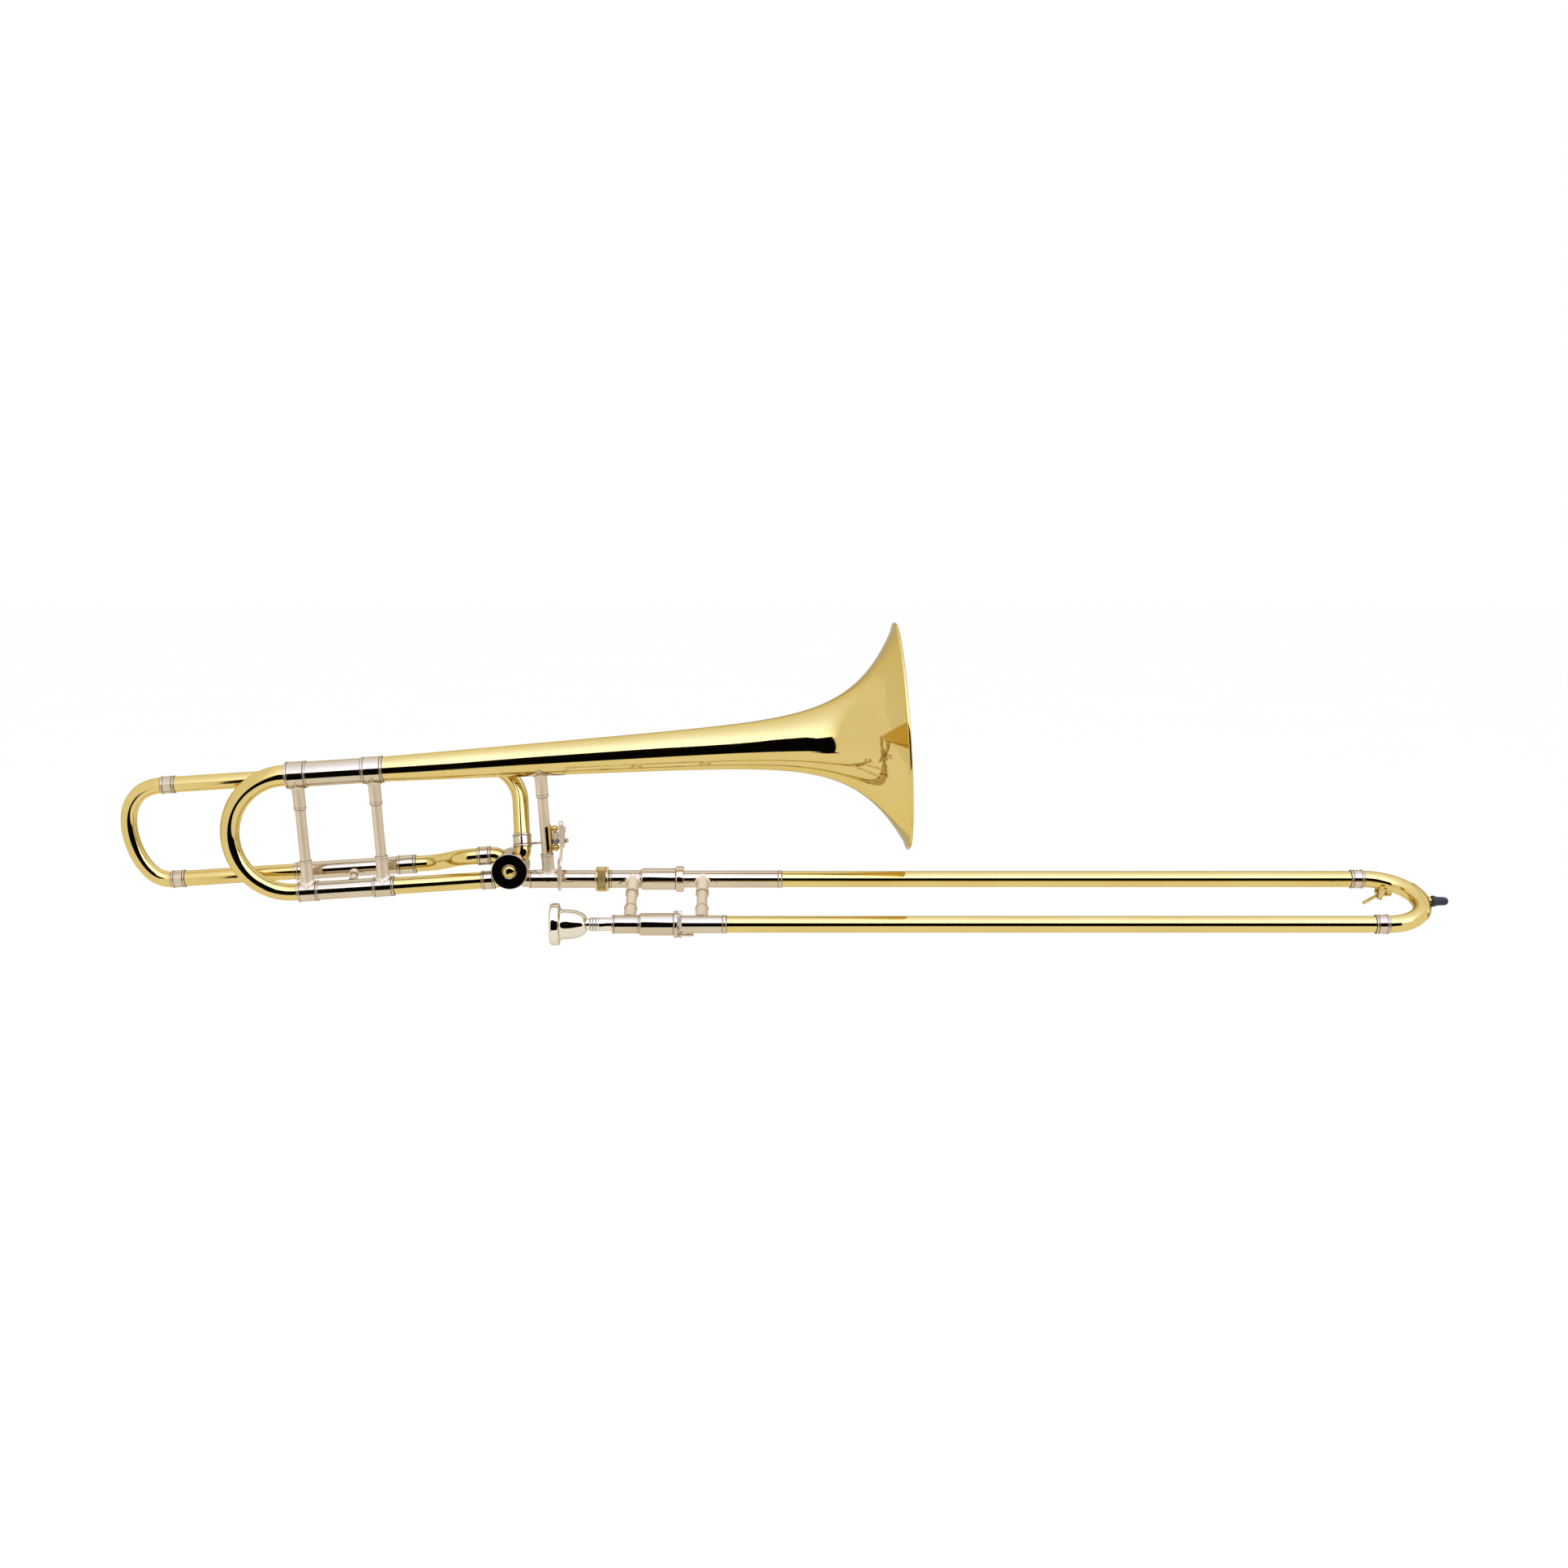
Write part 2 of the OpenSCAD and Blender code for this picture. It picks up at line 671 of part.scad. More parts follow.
module stop_bumpers() {
    color(black) valve_frame() for (a = [180 + rotor_turn / 2 - bumper_angle, -rotor_turn / 2 + bumper_angle])
        rotate([0, 0, a]) translate([bumper_ring_r, 0, -arm_back - arm_t])
            cylinder(r = bumper_r, h = arm_back + arm_t - casing_half - solder_gap);
}

module neckpipe() {
    ring = tenon_r + 0.35;
    socket_start = -36;
    bore = knuckle_r - 0.9;
    tenon_bore = tenon_r - 1;
    color(nickel) turned([
        [knuckle_r + solder_gap, neck_start], [ring, neck_start], [ring, neck_start + neck_ring_len - 0.4],
        [tenon_r, neck_start + neck_ring_len], [tenon_r, -nut_half], [collar_r, -nut_half + 0.6],
        [collar_r, 0],
        [tenon_bore, 0], [tenon_bore, socket_start], [bore, socket_start],
        [bore, -neck_knuckle_end], [knuckle_r + solder_gap, -neck_knuckle_end]
    ]);
}

module bell_brace() {
    neck_w = -brace_at * tan(bell_tilt);
    neck_x = -bell_back + brace_at / cos(bell_tilt);
    back = neck_x - neck_start - neck_ring_len - 1.5;
    bell_here = bell_r(bell_front - brace_at);
    stay_top = tuning_gap - bell_here - stay_seat - solder_gap;
    color(nickel) bell_frame() translate([brace_at, 0, 0]) {
        translate([0, 0, neck_w]) foot(tenon_r, back, 16, 0, bell_tilt, deep = 17, hang = 3.2);
        translate([0, 0, tuning_gap]) mirror([0, 0, 1]) foot(bell_here, 17, 17, bell_taper);
        stay(neck_w + tenon_r + stay_seat + solder_gap, stay_top, stay_r);
    }
}

module f_sleeves() {
    color(nickel) for (w = [f_low, f_top]) bell_frame() translate([0, f_depth, w]) union() {
        tube(f_sleeve_r, f_sleeve_bore, -f_sleeve_start, -f_sleeve_end - solder_gap);
        tube(f_sleeve_r + 0.5, f_sleeve_bore, -f_sleeve_start, -f_sleeve_start + 2.5);
    }
}

module f_sleeve_ferrules() {
    half = f_end_ferrule_len / 2;
    color(nickel) for (w = [f_low, f_top]) bell_frame() translate([0, f_depth, w])
        ferrule(f_sleeve_r + 0.6, -f_sleeve_end - half, -f_sleeve_end + half,
            f_sleeve_r + solder_gap, f_r + solder_gap, -f_sleeve_end);
}

module f_s_bend() {
    color(brass) bell_frame()
        pipe([[-f_sleeve_end + solder_gap, f_depth, f_low], s_bend_start, s_bend_stop,
            [f_left_seat_u - solder_gap, 0, f_port_w]], s_bend_r, f_r, f_r - f_wall);
}

module f_upper_tube() {
    color(brass) bell_frame()
        pipe([[-f_sleeve_end + solder_gap, f_depth, f_top], f_top_turn, f_top_seat + f_lean * solder_gap],
            f_drop_r, f_r, f_r - f_wall);
}

// Short strut with a ball in its middle, between the lower main sleeve and the lower F sleeve
module f_strut() {
    at = -(tuning_joint + tuning_sleeve_len / 2);
    span = norm([f_depth, f_low]);
    low_r = lower_sleeve_d / 2;
    rod_r = 2.5;
    deep = 3;
    gap = span - low_r - f_sleeve_r;
    color(nickel) bell_frame() translate([at, 0, 0]) rotate([-atan2(f_depth, f_low), 0, 0]) {
        foot(low_r, 9, 9, stay = rod_r, deep = deep);
        translate([0, 0, span]) mirror([0, 0, 1]) foot(f_sleeve_r, 9, 9, stay = rod_r, deep = deep);
        stay(low_r + stay_seat + solder_gap, span - f_sleeve_r - stay_seat - solder_gap, rod_r);
        translate([0, 0, low_r + gap / 2]) sphere(r = gap / 2 - deep - solder_gap);
    }
}

module trigger_saddle() {
    shell = stay_r + solder_gap;
    post_r = 1.9;
    color(brass) bell_frame() translate([brace_at, 0, 0]) difference() {
        union() {
            intersection() {
                stay(low_ball_w - 3.5, top_ball_w + 3.5, shell + 1.2);
                translate([0.5, -shell - 2, low_ball_w - 5]) cube([shell + 2, 2 * shell + 4, 30]);
            }
            for (w = [low_ball_w, top_ball_w]) {
                translate([0, 0, w]) rotate([0, 90, 0]) cylinder(r = post_r, h = pivot_off);
                translate([pivot_off, 0, w]) sphere(r = ball_r);
            }
        }
        stay(low_ball_w - 6, top_ball_w + 6, shell);
        translate([pivot_off, 0, 0])
            stay(hinge_low_w - turn_fit / 2, hinge_top_w + turn_fit / 2, trigger_coil_r + 0.9);
        translate([pivot_off, 0, 0]) stay(low_ball_w - 6, top_ball_w + 6, pivot_pin_r + solder_gap);
    }
}

module trigger_pivot_pin() {
    color(brass) bell_frame() translate([pivot_u, 0, 0])
        stay(low_ball_w - ball_r, top_ball_w + ball_r, pivot_pin_r);
}

module trigger_spring() {
    per_curl = 8;
    points = helix(trigger_coil_r, trigger_pitch, trigger_curls, per_curl);
    echo(trigger_spring_gap = least_gap(points, per_curl, trigger_wire_r));
    color(silver) bell_frame() translate([pivot_u, 0, hinge_low_w + turn_fit + trigger_wire_r])
        rotate([0, 0, 180]) wire(points, trigger_wire_r);
}

// Main tuning slide pieces
// Tapered bow: rings along a half circle whose radius grows from the valve side to the bell side
module main_crook() {
    sides = 24;
    arc_rings = 24;
    spine = concat(
        [[-crook_seat, crook_r, 90]],
        [for (i = [0:arc_rings])
            let (a = 90 + 180 * i / arc_rings) [-crook_centre + crook_r * cos(a), crook_r * sin(a), a]],
        [[-crook_seat, -crook_r, 270]]
    );
    rings = len(spine);
    function ring(i, wall) =
        let (p = spine[i], r = crook_top_d / 2 + (crook_low_d - crook_top_d) / 2 * (p[2] - 90) / 180 - wall)
        [for (k = [0:sides - 1])
            let (c = 360 * k / sides)
            [p[0] + r * cos(c) * cos(p[2]), r * sin(c), p[1] + r * cos(c) * sin(p[2])]];
    points = concat(
        [for (i = [0:rings - 1]) each ring(i, 0)],
        [for (i = [0:rings - 1]) each ring(i, crook_wall)]
    );
    inside = rings * sides;
    last = (rings - 1) * sides;
    walls = [for (i = [0:rings - 2]) for (k = [0:sides - 1])
        let (a = i * sides + k, b = i * sides + (k + 1) % sides, c = a + sides, d = b + sides)
        each [[a, b, d], [a, d, c],
            [inside + a, inside + d, inside + b], [inside + a, inside + c, inside + d]]];
    ends = [for (k = [0:sides - 1])
        let (a = k, b = (k + 1) % sides)
        each [
            [a, inside + b, b], [a, inside + a, inside + b],
            [last + a, last + b, inside + last + b], [last + a, inside + last + b, inside + last + a]
        ]];
    color(brass) bell_frame() translate([0, 0, crook_r])
        polyhedron(points = points, faces = concat(walls, ends));
}

module crook_ferrules() {
    color(nickel) {
        bell_axis()
            ferrule(upper_ferrule_r, -tuning_open - tuning_ferrule_len, -tuning_open - solder_gap,
                crook_top_d / 2 + solder_gap, upper_leg_r + solder_gap, -crook_seat + solder_gap);
        bell_frame()
            ferrule(lower_ferrule_r, -tuning_open - tuning_ferrule_len, -tuning_open - solder_gap,
                crook_low_d / 2 + solder_gap, lower_leg_r + solder_gap, -crook_seat + solder_gap);
    }
}

module tuning_inner_legs() {
    color(nickel) {
        bell_axis()
            tube(upper_leg_r, upper_leg_r - tuning_wall, -crook_seat + 2 * solder_gap, -tuning_leg_tip);
        bell_frame()
            tube(lower_leg_r, lower_leg_r - tuning_wall, -crook_seat + 2 * solder_gap, -tuning_leg_tip);
    }
}

module moving_tuning_brace() {
    color(nickel) bell_frame() translate([-crook_seat, 0, 0])
        brace(tuning_gap, lower_ferrule_r, upper_ferrule_r);
}

// F tuning slide pieces
// D-shaped bow: two corners joined by one wide arc
module f_crook() {
    side = f_half - f_corner_r;
    wide_r = (f_crook_reach * f_crook_reach + side * side - f_corner_r * f_corner_r)
        / (2 * (f_crook_reach - f_corner_r));
    half_wide = atan2(side, wide_r - f_crook_reach);
    lap_angle = 0.5;
    module bow(r, extra) {
        for (s = [-1, 1]) {
            translate([0, s * side, 0]) rotate([0, 0, s > 0 ? 90 : 180 + half_wide])
                rotate_extrude(angle = 90 - half_wide) translate([f_corner_r, 0]) circle(r);
            translate([-bend_lap, s * f_half, 0]) rotate([0, 90, 0])
                cylinder(r = r - bend_step, h = f_ferrule_len / 2 + extra + bend_lap);
        }
        translate([wide_r - f_crook_reach, 0, 0]) rotate([0, 0, 180 - half_wide - lap_angle])
            rotate_extrude(angle = 2 * half_wide + 2 * lap_angle)
                translate([wide_r, 0]) circle(r - bend_step);
    }
    color(brass) bell_frame() translate([-f_crook_start, f_depth, f_mid]) rotate([90, 0, 0])
        difference() {
            bow(f_r, 0);
            bow(f_r - f_wall, 1);
        }
}

module f_crook_ferrules() {
    seat = -f_crook_start + f_ferrule_len / 2 + solder_gap;
    color(nickel) for (w = [f_low, f_top]) bell_frame() translate([0, f_depth, w])
        ferrule(f_r + 0.7, -f_crook_start, -f_crook_start + f_ferrule_len,
            f_r + solder_gap, f_r + solder_gap, seat);
}

module f_slide_legs() {
    start = -f_crook_start + f_ferrule_len / 2 + 2 * solder_gap;
    color(brass) for (w = [f_low, f_top]) bell_frame() translate([0, f_depth, w])
        tube(f_r, f_r - f_wall, start, -f_sleeve_start - turn_fit);
}

module f_inner_legs() {
    color(nickel) for (w = [f_low, f_top]) bell_frame() translate([0, f_depth, w])
        tube(f_r, f_r - f_wall, -f_sleeve_start - turn_fit + solder_gap, -f_leg_tip);
}

// Valve rotor and trigger linkage
module rotor() {
    color(brass) valve_frame() difference() {
        union() {
            translate([0, 0, -core_half]) cylinder(r = rotor_r, h = 2 * core_half);
            translate([0, 0, -arm_back - arm_t])
                cylinder(r = spindle_r, h = arm_back + arm_t + casing_half + 1.5);
        }
        for (s = [-1, 1]) translate([0, s * rotor_r * sqrt(2), 0]) rotate_extrude()
            translate([rotor_r, 0]) circle(d = passage_d);
    }
}

module stop_arm() {
    hub_r = 6;
    boss_r = 3.2;
    root = hub_r - 1.5;
    pin = half_throw * [1, 1];
    pin_end = link_y + link_eye_h / 2 + 0.4;
    screw_h = 1.8;
    color(nickel) valve_frame() {
        translate([0, 0, -arm_back - arm_t]) difference() {
            union() {
                cylinder(r = hub_r, h = arm_t);
                translate([pin[0], pin[1], 0]) cylinder(r = boss_r, h = arm_t);
                rotate([0, 0, rotor_turn / 2]) translate([root, -boss_r + 0.4, 0])
                    cube([stop_arm_r - root, 2 * boss_r - 0.8, arm_t]);
                rotate([0, 0, 180 + rotor_turn / 2]) translate([root, -tongue_half, 0])
                    cube([bumper_ring_r + bumper_r - root, 2 * tongue_half, arm_t]);
            }
            translate([0, 0, -1]) cylinder(r = spindle_r + solder_gap, h = arm_t + 2);
        }
        translate([pin[0], pin[1], -pin_end]) cylinder(r = stop_pin_r, h = pin_end - arm_back - arm_t / 2);
        translate([pin[0], pin[1], -pin_end - 1]) cylinder(r = stop_pin_r + 0.8, h = 1.2);
        translate([0, 0, -arm_back - arm_t - solder_gap - screw_h])
            cylinder(r = spindle_r + 1.4, h = screw_h);
    }
}

// Thumb lever: a hinge barrel, an upright plate, the rear arm and the paddle that hangs in front
module trigger_lever() {
    plate_u = half_throw - lever_t / 2;
    head_u = ball_r + 0.75;
    head_t = 4.2;
    arm_half = 3;
    dish_r = 26;
    dish_deep = 1.1;
    arm_w = lever_arm_w + arm_half - 1;
    paddle_top = low_ball_w - 14;
    pin_len = 11;
    color(nickel) bell_frame() translate([pivot_u, 0, 0]) {
        difference() {
            union() {
                stay(hinge_low_w, hinge_top_w, hinge_barrel_r);
                translate([0, -2, lever_arm_w]) cube([plate_u + 1, 4, hinge_top_w - lever_arm_w]);
                translate([head_u, 0, 0]) rotate([90, 0, 90])
                    bar([0, low_ball_w + 4], [0, top_ball_w + 3], 4.2, head_t);
                translate([plate_u, 0, 0]) rotate([90, 0, 90]) {
                    bar([0, arm_w], [lever_rear_y, arm_w], arm_half, lever_t);
                    bar([0, low_ball_w + 1.4], [-paddle_reach, paddle_top], 3.6, lever_t);
                    bar([-paddle_reach, paddle_top], [-paddle_reach, paddle_top - 15], paddle_r, lever_t);
                }
                translate([half_throw, lever_rear_y, 0]) stay(arm_w - arm_half, arm_w + arm_half, 2.4);
            }
            stay(hinge_low_w - 1, hinge_top_w + 1, pivot_pin_r + slide_fit);
            translate([plate_u + dish_deep - dish_r, -paddle_reach, paddle_top - 7.5]) sphere(r = dish_r);
        }
        translate([half_throw, lever_rear_y, 0])
            stay(arm_w - arm_half - pin_len, arm_w - arm_half, lever_pin_r);
    }
}

// Link from the stop arm's pin to the lever's rear pin
module trigger_link() {
    pin = [valve_u + half_throw, link_y, valve_w + half_throw];
    knee = [pin[0] + 9, link_y, link_w - 0.6];
    eye = [pivot_u + half_throw, link_y, link_w];
    pin_bore = stop_pin_r + turn_fit;
    eye_bore = lever_pin_r + link_play;
    wall = 1.8;
    color(nickel) bell_frame() difference() {
        union() {
            run([pin, knee, eye], 5, link_rod_r);
            translate(pin) rotate([90, 0, 0]) cylinder(r = pin_bore + wall, h = link_eye_h, center = true);
            translate(eye) cylinder(r = eye_bore + wall, h = link_eye_h, center = true);
        }
        translate(pin) rotate([90, 0, 0]) cylinder(r = pin_bore, h = 2 * link_eye_h, center = true);
        translate(eye) cylinder(r = eye_bore, h = 2 * link_eye_h, center = true);
    }
}

// Lock nut and inner slide pieces
module lock_nut() {
    thread_r = collar_r + turn_fit;
    lip = collar_t + 0.3 + turn_fit;
    color(dark_brass) turned([
        [thread_r, -nut_half], [nut_r - 0.9, -nut_half], [nut_r - 0.2, -nut_half + 0.8], [nut_r - 0.2, -3.6],
        [nut_r, -3.4], [nut_r, 3.4], [nut_r - 0.2, 3.6], [nut_r - 0.2, nut_half - 0.8],
        [nut_r - 0.9, nut_half],
        [tenon_r + turn_fit, nut_half], [tenon_r + turn_fit, lip], [thread_r, lip]
    ]);
}

module slide_tenon() {
    plug_r = tenon_r - 1 - turn_fit;
    plug_end = -34;
    face = 0.3;
    seat = 20;
    ring_x = 8;
    color(nickel) turned([
        [inner_bore, plug_end], [plug_r, plug_end], [plug_r, face], [collar_r, face],
        [collar_r, face + collar_t],
        [tenon_r, face + collar_t], [tenon_r, ring_x - 0.8], [tenon_r + 0.3, ring_x - 0.5],
        [tenon_r + 0.3, ring_x + 0.5], [tenon_r, ring_x + 0.8], [tenon_r, barrel_start - solder_gap],
        [inner_r + solder_gap, barrel_start - solder_gap], [inner_r + solder_gap, seat], [inner_bore, seat]
    ]);
}

module mouthpiece_receiver() {
    seat = 30;
    mouth = shank_r + 0.1;
    throat = shank_r - 0.05;
    color(nickel) lower_leg() turned([
        [mouth, receiver_start], [receiver_r, receiver_start], [receiver_r + 0.35, receiver_start + 0.4],
        [receiver_r + 0.35, receiver_start + 1.6], [receiver_r, receiver_start + 2],
        [receiver_r, receiver_end - solder_gap], [inner_r + solder_gap, receiver_end - solder_gap],
        [inner_r + solder_gap, seat], [throat, seat]
    ]);
}

// Cork barrel shoulder and bore, shared by both legs: the outline from its foot to x1
function barrel_shoulder(x0, r0) = [
    [inner_r + solder_gap, x0], [r0, x0], [r0 + 0.5, x0 + 0.4], [r0 + 0.5, x0 + 1.2], [r0 + 0.2, x0 + 1.6],
    [barrel_r, x0 + 3.6]
];
function barrel_inside(x1) = [
    [barrel_bore, x1], [barrel_bore, cork_start], [inner_r + solder_gap, cork_start]
];

module upper_cork_barrel() {
    color(nickel) turned(concat(
        barrel_shoulder(barrel_start, tenon_r),
        [[barrel_r, ring_start], [ring_r - 0.6, ring_start + 0.2], [ring_r, ring_start + 1.4],
            [ring_r, barrel_end - 1.4], [ring_r - 0.6, barrel_end]],
        barrel_inside(barrel_end)
    ));
}

module lower_cork_barrel() {
    neck_r = barrel_r - 0.7;
    color(nickel) lower_leg() turned(concat(
        barrel_shoulder(receiver_end, receiver_r),
        [[barrel_r, ring_start], [neck_r, ring_start], [neck_r, barrel_end]],
        barrel_inside(barrel_end)
    ));
}

module inner_tube(x0) {
    swell = inner_end - stocking_len;
    color(nickel) turned([
        [inner_bore, x0], [inner_r, x0], [inner_r, swell], [stocking_r, swell + 2],
        [stocking_r, inner_end - 1],
        [inner_r, inner_end], [inner_bore, inner_end]
    ]);
}

module upper_inner_tube() {
    inner_tube(20 + solder_gap);
}

module lower_inner_tube() {
    lower_leg() inner_tube(30 + solder_gap);
}

// Brace across the slide, standing on the upper leg
module across(x) {
    slide_plane() translate([x, 0, 0]) rotate([-90, 0, 0]) children();
}

module hand_brace() {
    reach = barrel_start - hand_brace_at - 0.5;
    color(nickel) across(hand_brace_at) {
        foot(tenon_r, 14, reach);
        translate([0, 0, leg_gap]) mirror([0, 0, 1]) foot(receiver_r, 11, reach);
        stay(tenon_r + stay_seat + solder_gap, leg_gap - receiver_r - stay_seat - solder_gap, stay_r);
    }
}

module barrel_corks() {
    module ring() {
        tube(barrel_bore - 0.1, inner_r + 0.1, cork_start + solder_gap, cork_start + cork_len);
    }
    color(cork) {
        ring();
        lower_leg() ring();
    }
}

// Cup mouthpiece: rounded rim, bowl drawn in to a waist, three beads and the tapered shank
module mouthpiece() {
    x0 = -mouthpiece_back;
    rim_r = rim_d / 2;
    bite = cup_d / 2;
    crown = (rim_r - bite) / 2;
    crown_h = 2.6;
    rim_w = 9;
    bowl_r = bite + 1.05;
    bowl_x = x0 + 15;
    bowl_len = 19;
    waist_r = 5.3;
    throat_r = 3.5;
    bead_x = x0 + 37.6;
    bead_w = 2.6;
    bead_r = shank_r + 0.2;
    rim_arc = [for (a = [0:15:180]) [bite + crown - crown * cos(a), x0 + crown_h - crown_h * sin(a)]];
    bowl = [for (t = [0:9:90]) [waist_r + (bowl_r - waist_r) * cos(t), bowl_x + bowl_len * sin(t)]];
    beads = [for (i = [0:2]) let (x = bead_x + i * bead_w) each [
        [bead_r - 0.5, x], [bead_r, x + 0.5], [bead_r, x + bead_w - 0.9], [bead_r - 0.5, x + bead_w - 0.4]
    ]];
    cup = [for (t = [0:15:75])
        [throat_r + (bite - throat_r) * sin(t), x0 + crown_h + (cup_depth - crown_h) * cos(t)]];
    tip_x = receiver_start + shank_len;
    color(silver) lower_leg() turned(concat(
        rim_arc,
        [[rim_r, x0 + rim_w - 1], [rim_r - 1, x0 + rim_w], [bowl_r + 2.3, x0 + rim_w + 0.3],
            [bowl_r + 0.6, x0 + rim_w + 2.6], [bowl_r, x0 + rim_w + 4.4]],
        bowl,
        [[waist_r, bead_x - 1.4]],
        beads,
        [[shank_r, bead_x + 3 * bead_w], [shank_r, receiver_start], [shank_r - shank_taper, tip_x],
            [shank_r - shank_taper - 1, tip_x]],
        cup
    ));
}

module slide_lock_ring() {
    bore = barrel_r - 0.7 + turn_fit;
    start = ring_start + turn_fit;
    color(nickel) lower_leg() {
        turned([
            [bore, start], [ring_r - 0.6, start], [ring_r, start + 1.2], [ring_r, start + 3],
            [ring_r - 0.4, start + 3.4], [ring_r - 0.4, barrel_end - 3], [ring_r, barrel_end - 2.6],
            [ring_r, barrel_end - 1], [ring_r - 0.6, barrel_end], [bore, barrel_end]
        ]);
        translate([barrel_end - 1, -finger_half, -finger_low - finger_t]) {
            cube([finger_len + 1, 2 * finger_half, finger_t]);
            translate([finger_len + 1 - hook_t, 0, 0]) cube([hook_t, 2 * finger_half + hook_reach, finger_t]);
        }
    }
}

// Outer slide pieces
module outer_tube() {
    color(brass) tube(outer_r, outer_bore, outer_start, bow_joint - solder_gap);
}

module upper_outer_tube() {
    outer_tube();
}

module lower_outer_tube() {
    lower_leg() outer_tube();
}

module oversleeve(reach) {
    x1 = barrel_end + reach;
    r_in = outer_r + solder_gap;
    color(nickel) turned([
        [r_in, outer_start], [oversleeve_r, outer_start], [oversleeve_r, x1 - 3.2],
        [oversleeve_r + 0.4, x1 - 2.8],
        [oversleeve_r + 0.4, x1 - 0.6], [oversleeve_r, x1], [r_in, x1]
    ]);
}

module upper_oversleeve() {
    oversleeve(upper_oversleeve_len);
}

module lower_oversleeve() {
    lower_leg() oversleeve(lower_oversleeve_len);
}

module outer_brace() {
    color(nickel) across(outer_brace_at) brace(leg_gap, oversleeve_r, oversleeve_r, 15, 15);
}

module bow_ring(r) {
    slide_plane() translate([slide_len, leg_gap / 2, 0]) rotate([0, 0, -90])
        rotate_extrude(angle = 180) translate([leg_gap / 2, 0]) circle(r);
}

module bow_stubs(r, extra) {
    for (y = [0, leg_gap]) slide_plane() translate([bow_joint + solder_gap - extra, y, 0]) rotate([0, 90, 0])
        cylinder(r = r - bend_step, h = slide_len - bow_joint - solder_gap + extra + bend_lap);
}

module slide_bow() {
    drain_r = 1.6;
    color(brass) difference() {
        union() {
            bow_ring(bow_r);
            bow_stubs(bow_r, 0);
        }
        bow_ring(bow_r - 0.6);
        bow_stubs(bow_r - 0.6, 1);
        slide_plane() translate([key_x, key_y, 0]) cylinder(r = drain_r, h = bow_r + 1);
    }
}

module bow_ferrules() {
    module ring() {
        ferrule(bow_ferrule_r, bow_joint - bow_ferrule_len / 2, bow_joint + bow_ferrule_len / 2 - 1.4,
            outer_r + solder_gap, bow_r + solder_gap, bow_joint);
    }
    color(nickel) {
        ring();
        lower_leg() ring();
    }
}

// Wear plate round the outside of the bow
module bow_guard() {
    color(brass) intersection() {
        difference() {
            bow_ring(bow_r + solder_gap + guard_t);
            bow_ring(bow_r + solder_gap);
        }
        slide_plane() translate([slide_len + guard_from, 0, -2 * bow_r]) cube([leg_gap, leg_gap, 4 * bow_r]);
    }
}

module bumper_stem() {
    root = 4;
    base_r = 4.6;
    color(brass) difference() {
        slide_plane() translate([bow_tip - root, leg_gap / 2, 0]) rotate([0, 90, 0]) {
            cylinder(r = base_r, h = root + 1);
            cylinder(r = bumper_stem_r, h = root + bumper_stem_len);
        }
        bow_ring(bow_r + guard_t + 2 * solder_gap);
    }
}

module bumper_tip() {
    flange_r = 5.35;
    tip_r = 3.9;
    tip_x = bumper_tip_start + 12;
    color(black) slide_plane() translate([0, leg_gap / 2, 0]) difference() {
        union() {
            turned([
                [0, bumper_tip_start], [flange_r - 0.5, bumper_tip_start], [flange_r, bumper_tip_start + 0.6],
                [flange_r, bumper_tip_start + 2.6], [4.5, bumper_tip_start + 3.6], [tip_r, tip_x], [0, tip_x]
            ]);
            translate([tip_x, 0, 0]) sphere(r = tip_r);
        }
        translate([bow_tip, 0, 0]) rotate([0, 90, 0])
            cylinder(r = bumper_stem_r + solder_gap, h = bumper_stem_len + solder_gap);
    }
}

module lock_stud() {
    base = oversleeve_r + solder_gap;
    color(nickel) lower_leg() rotate([stud_angle, 0, 0]) difference() {
        translate([stud_x, 0, -finger_low - finger_t]) {
            cylinder(r = stud_r, h = finger_low + finger_t);
            translate([0, 0, finger_low + finger_t - base - 0.9]) cylinder(r = stud_r + 1, h = base + 0.9);
        }
        rotate([0, 90, 0]) cylinder(r = base, h = 2 * stud_x);
        translate([0, -ring_r, 0]) cube([2 * stud_x, 2 * ring_r, ring_r]);
    }
}

// Drain nib with its hinge lugs and pin, on the underside of the bow
module water_key_saddle() {
    lug_half = key_coil_start + key_pitch * key_curls + 0.7;
    lug_t = 1.2;
    seat = bow_r + solder_gap;
    color(brass) difference() {
        slide_plane() translate([key_x, key_y, 0]) {
            difference() {
                union() {
                    cylinder(r = nib_r, h = nib_top);
                    translate([-key_pivot_back - 2.4, -lug_half - lug_t, 0])
                        cube([key_pivot_back + 2.4, 2 * (lug_half + lug_t), bow_r + 1.4]);
                    for (y = [-lug_half - lug_t, lug_half]) {
                        translate([-key_pivot_back - 2.2, y, 0]) cube([4.4, lug_t, key_pivot_z]);
                        translate([-key_pivot_back, y, key_pivot_z]) rotate([-90, 0, 0])
                            cylinder(r = 2.2, h = lug_t);
                    }
                }
                translate([0, 0, -1]) cylinder(r = 1.6, h = nib_top + 2);
            }
            translate([-key_pivot_back, -lug_half - lug_t, key_pivot_z]) rotate([-90, 0, 0])
                cylinder(r = key_pin_r, h = 2 * (lug_half + lug_t));
        }
        bow_ring(seat);
        slide_plane() translate([0, -leg_gap, -2 * bow_r]) cube([2 * slide_len, 3 * leg_gap, 2 * bow_r + 3]);
    }
}

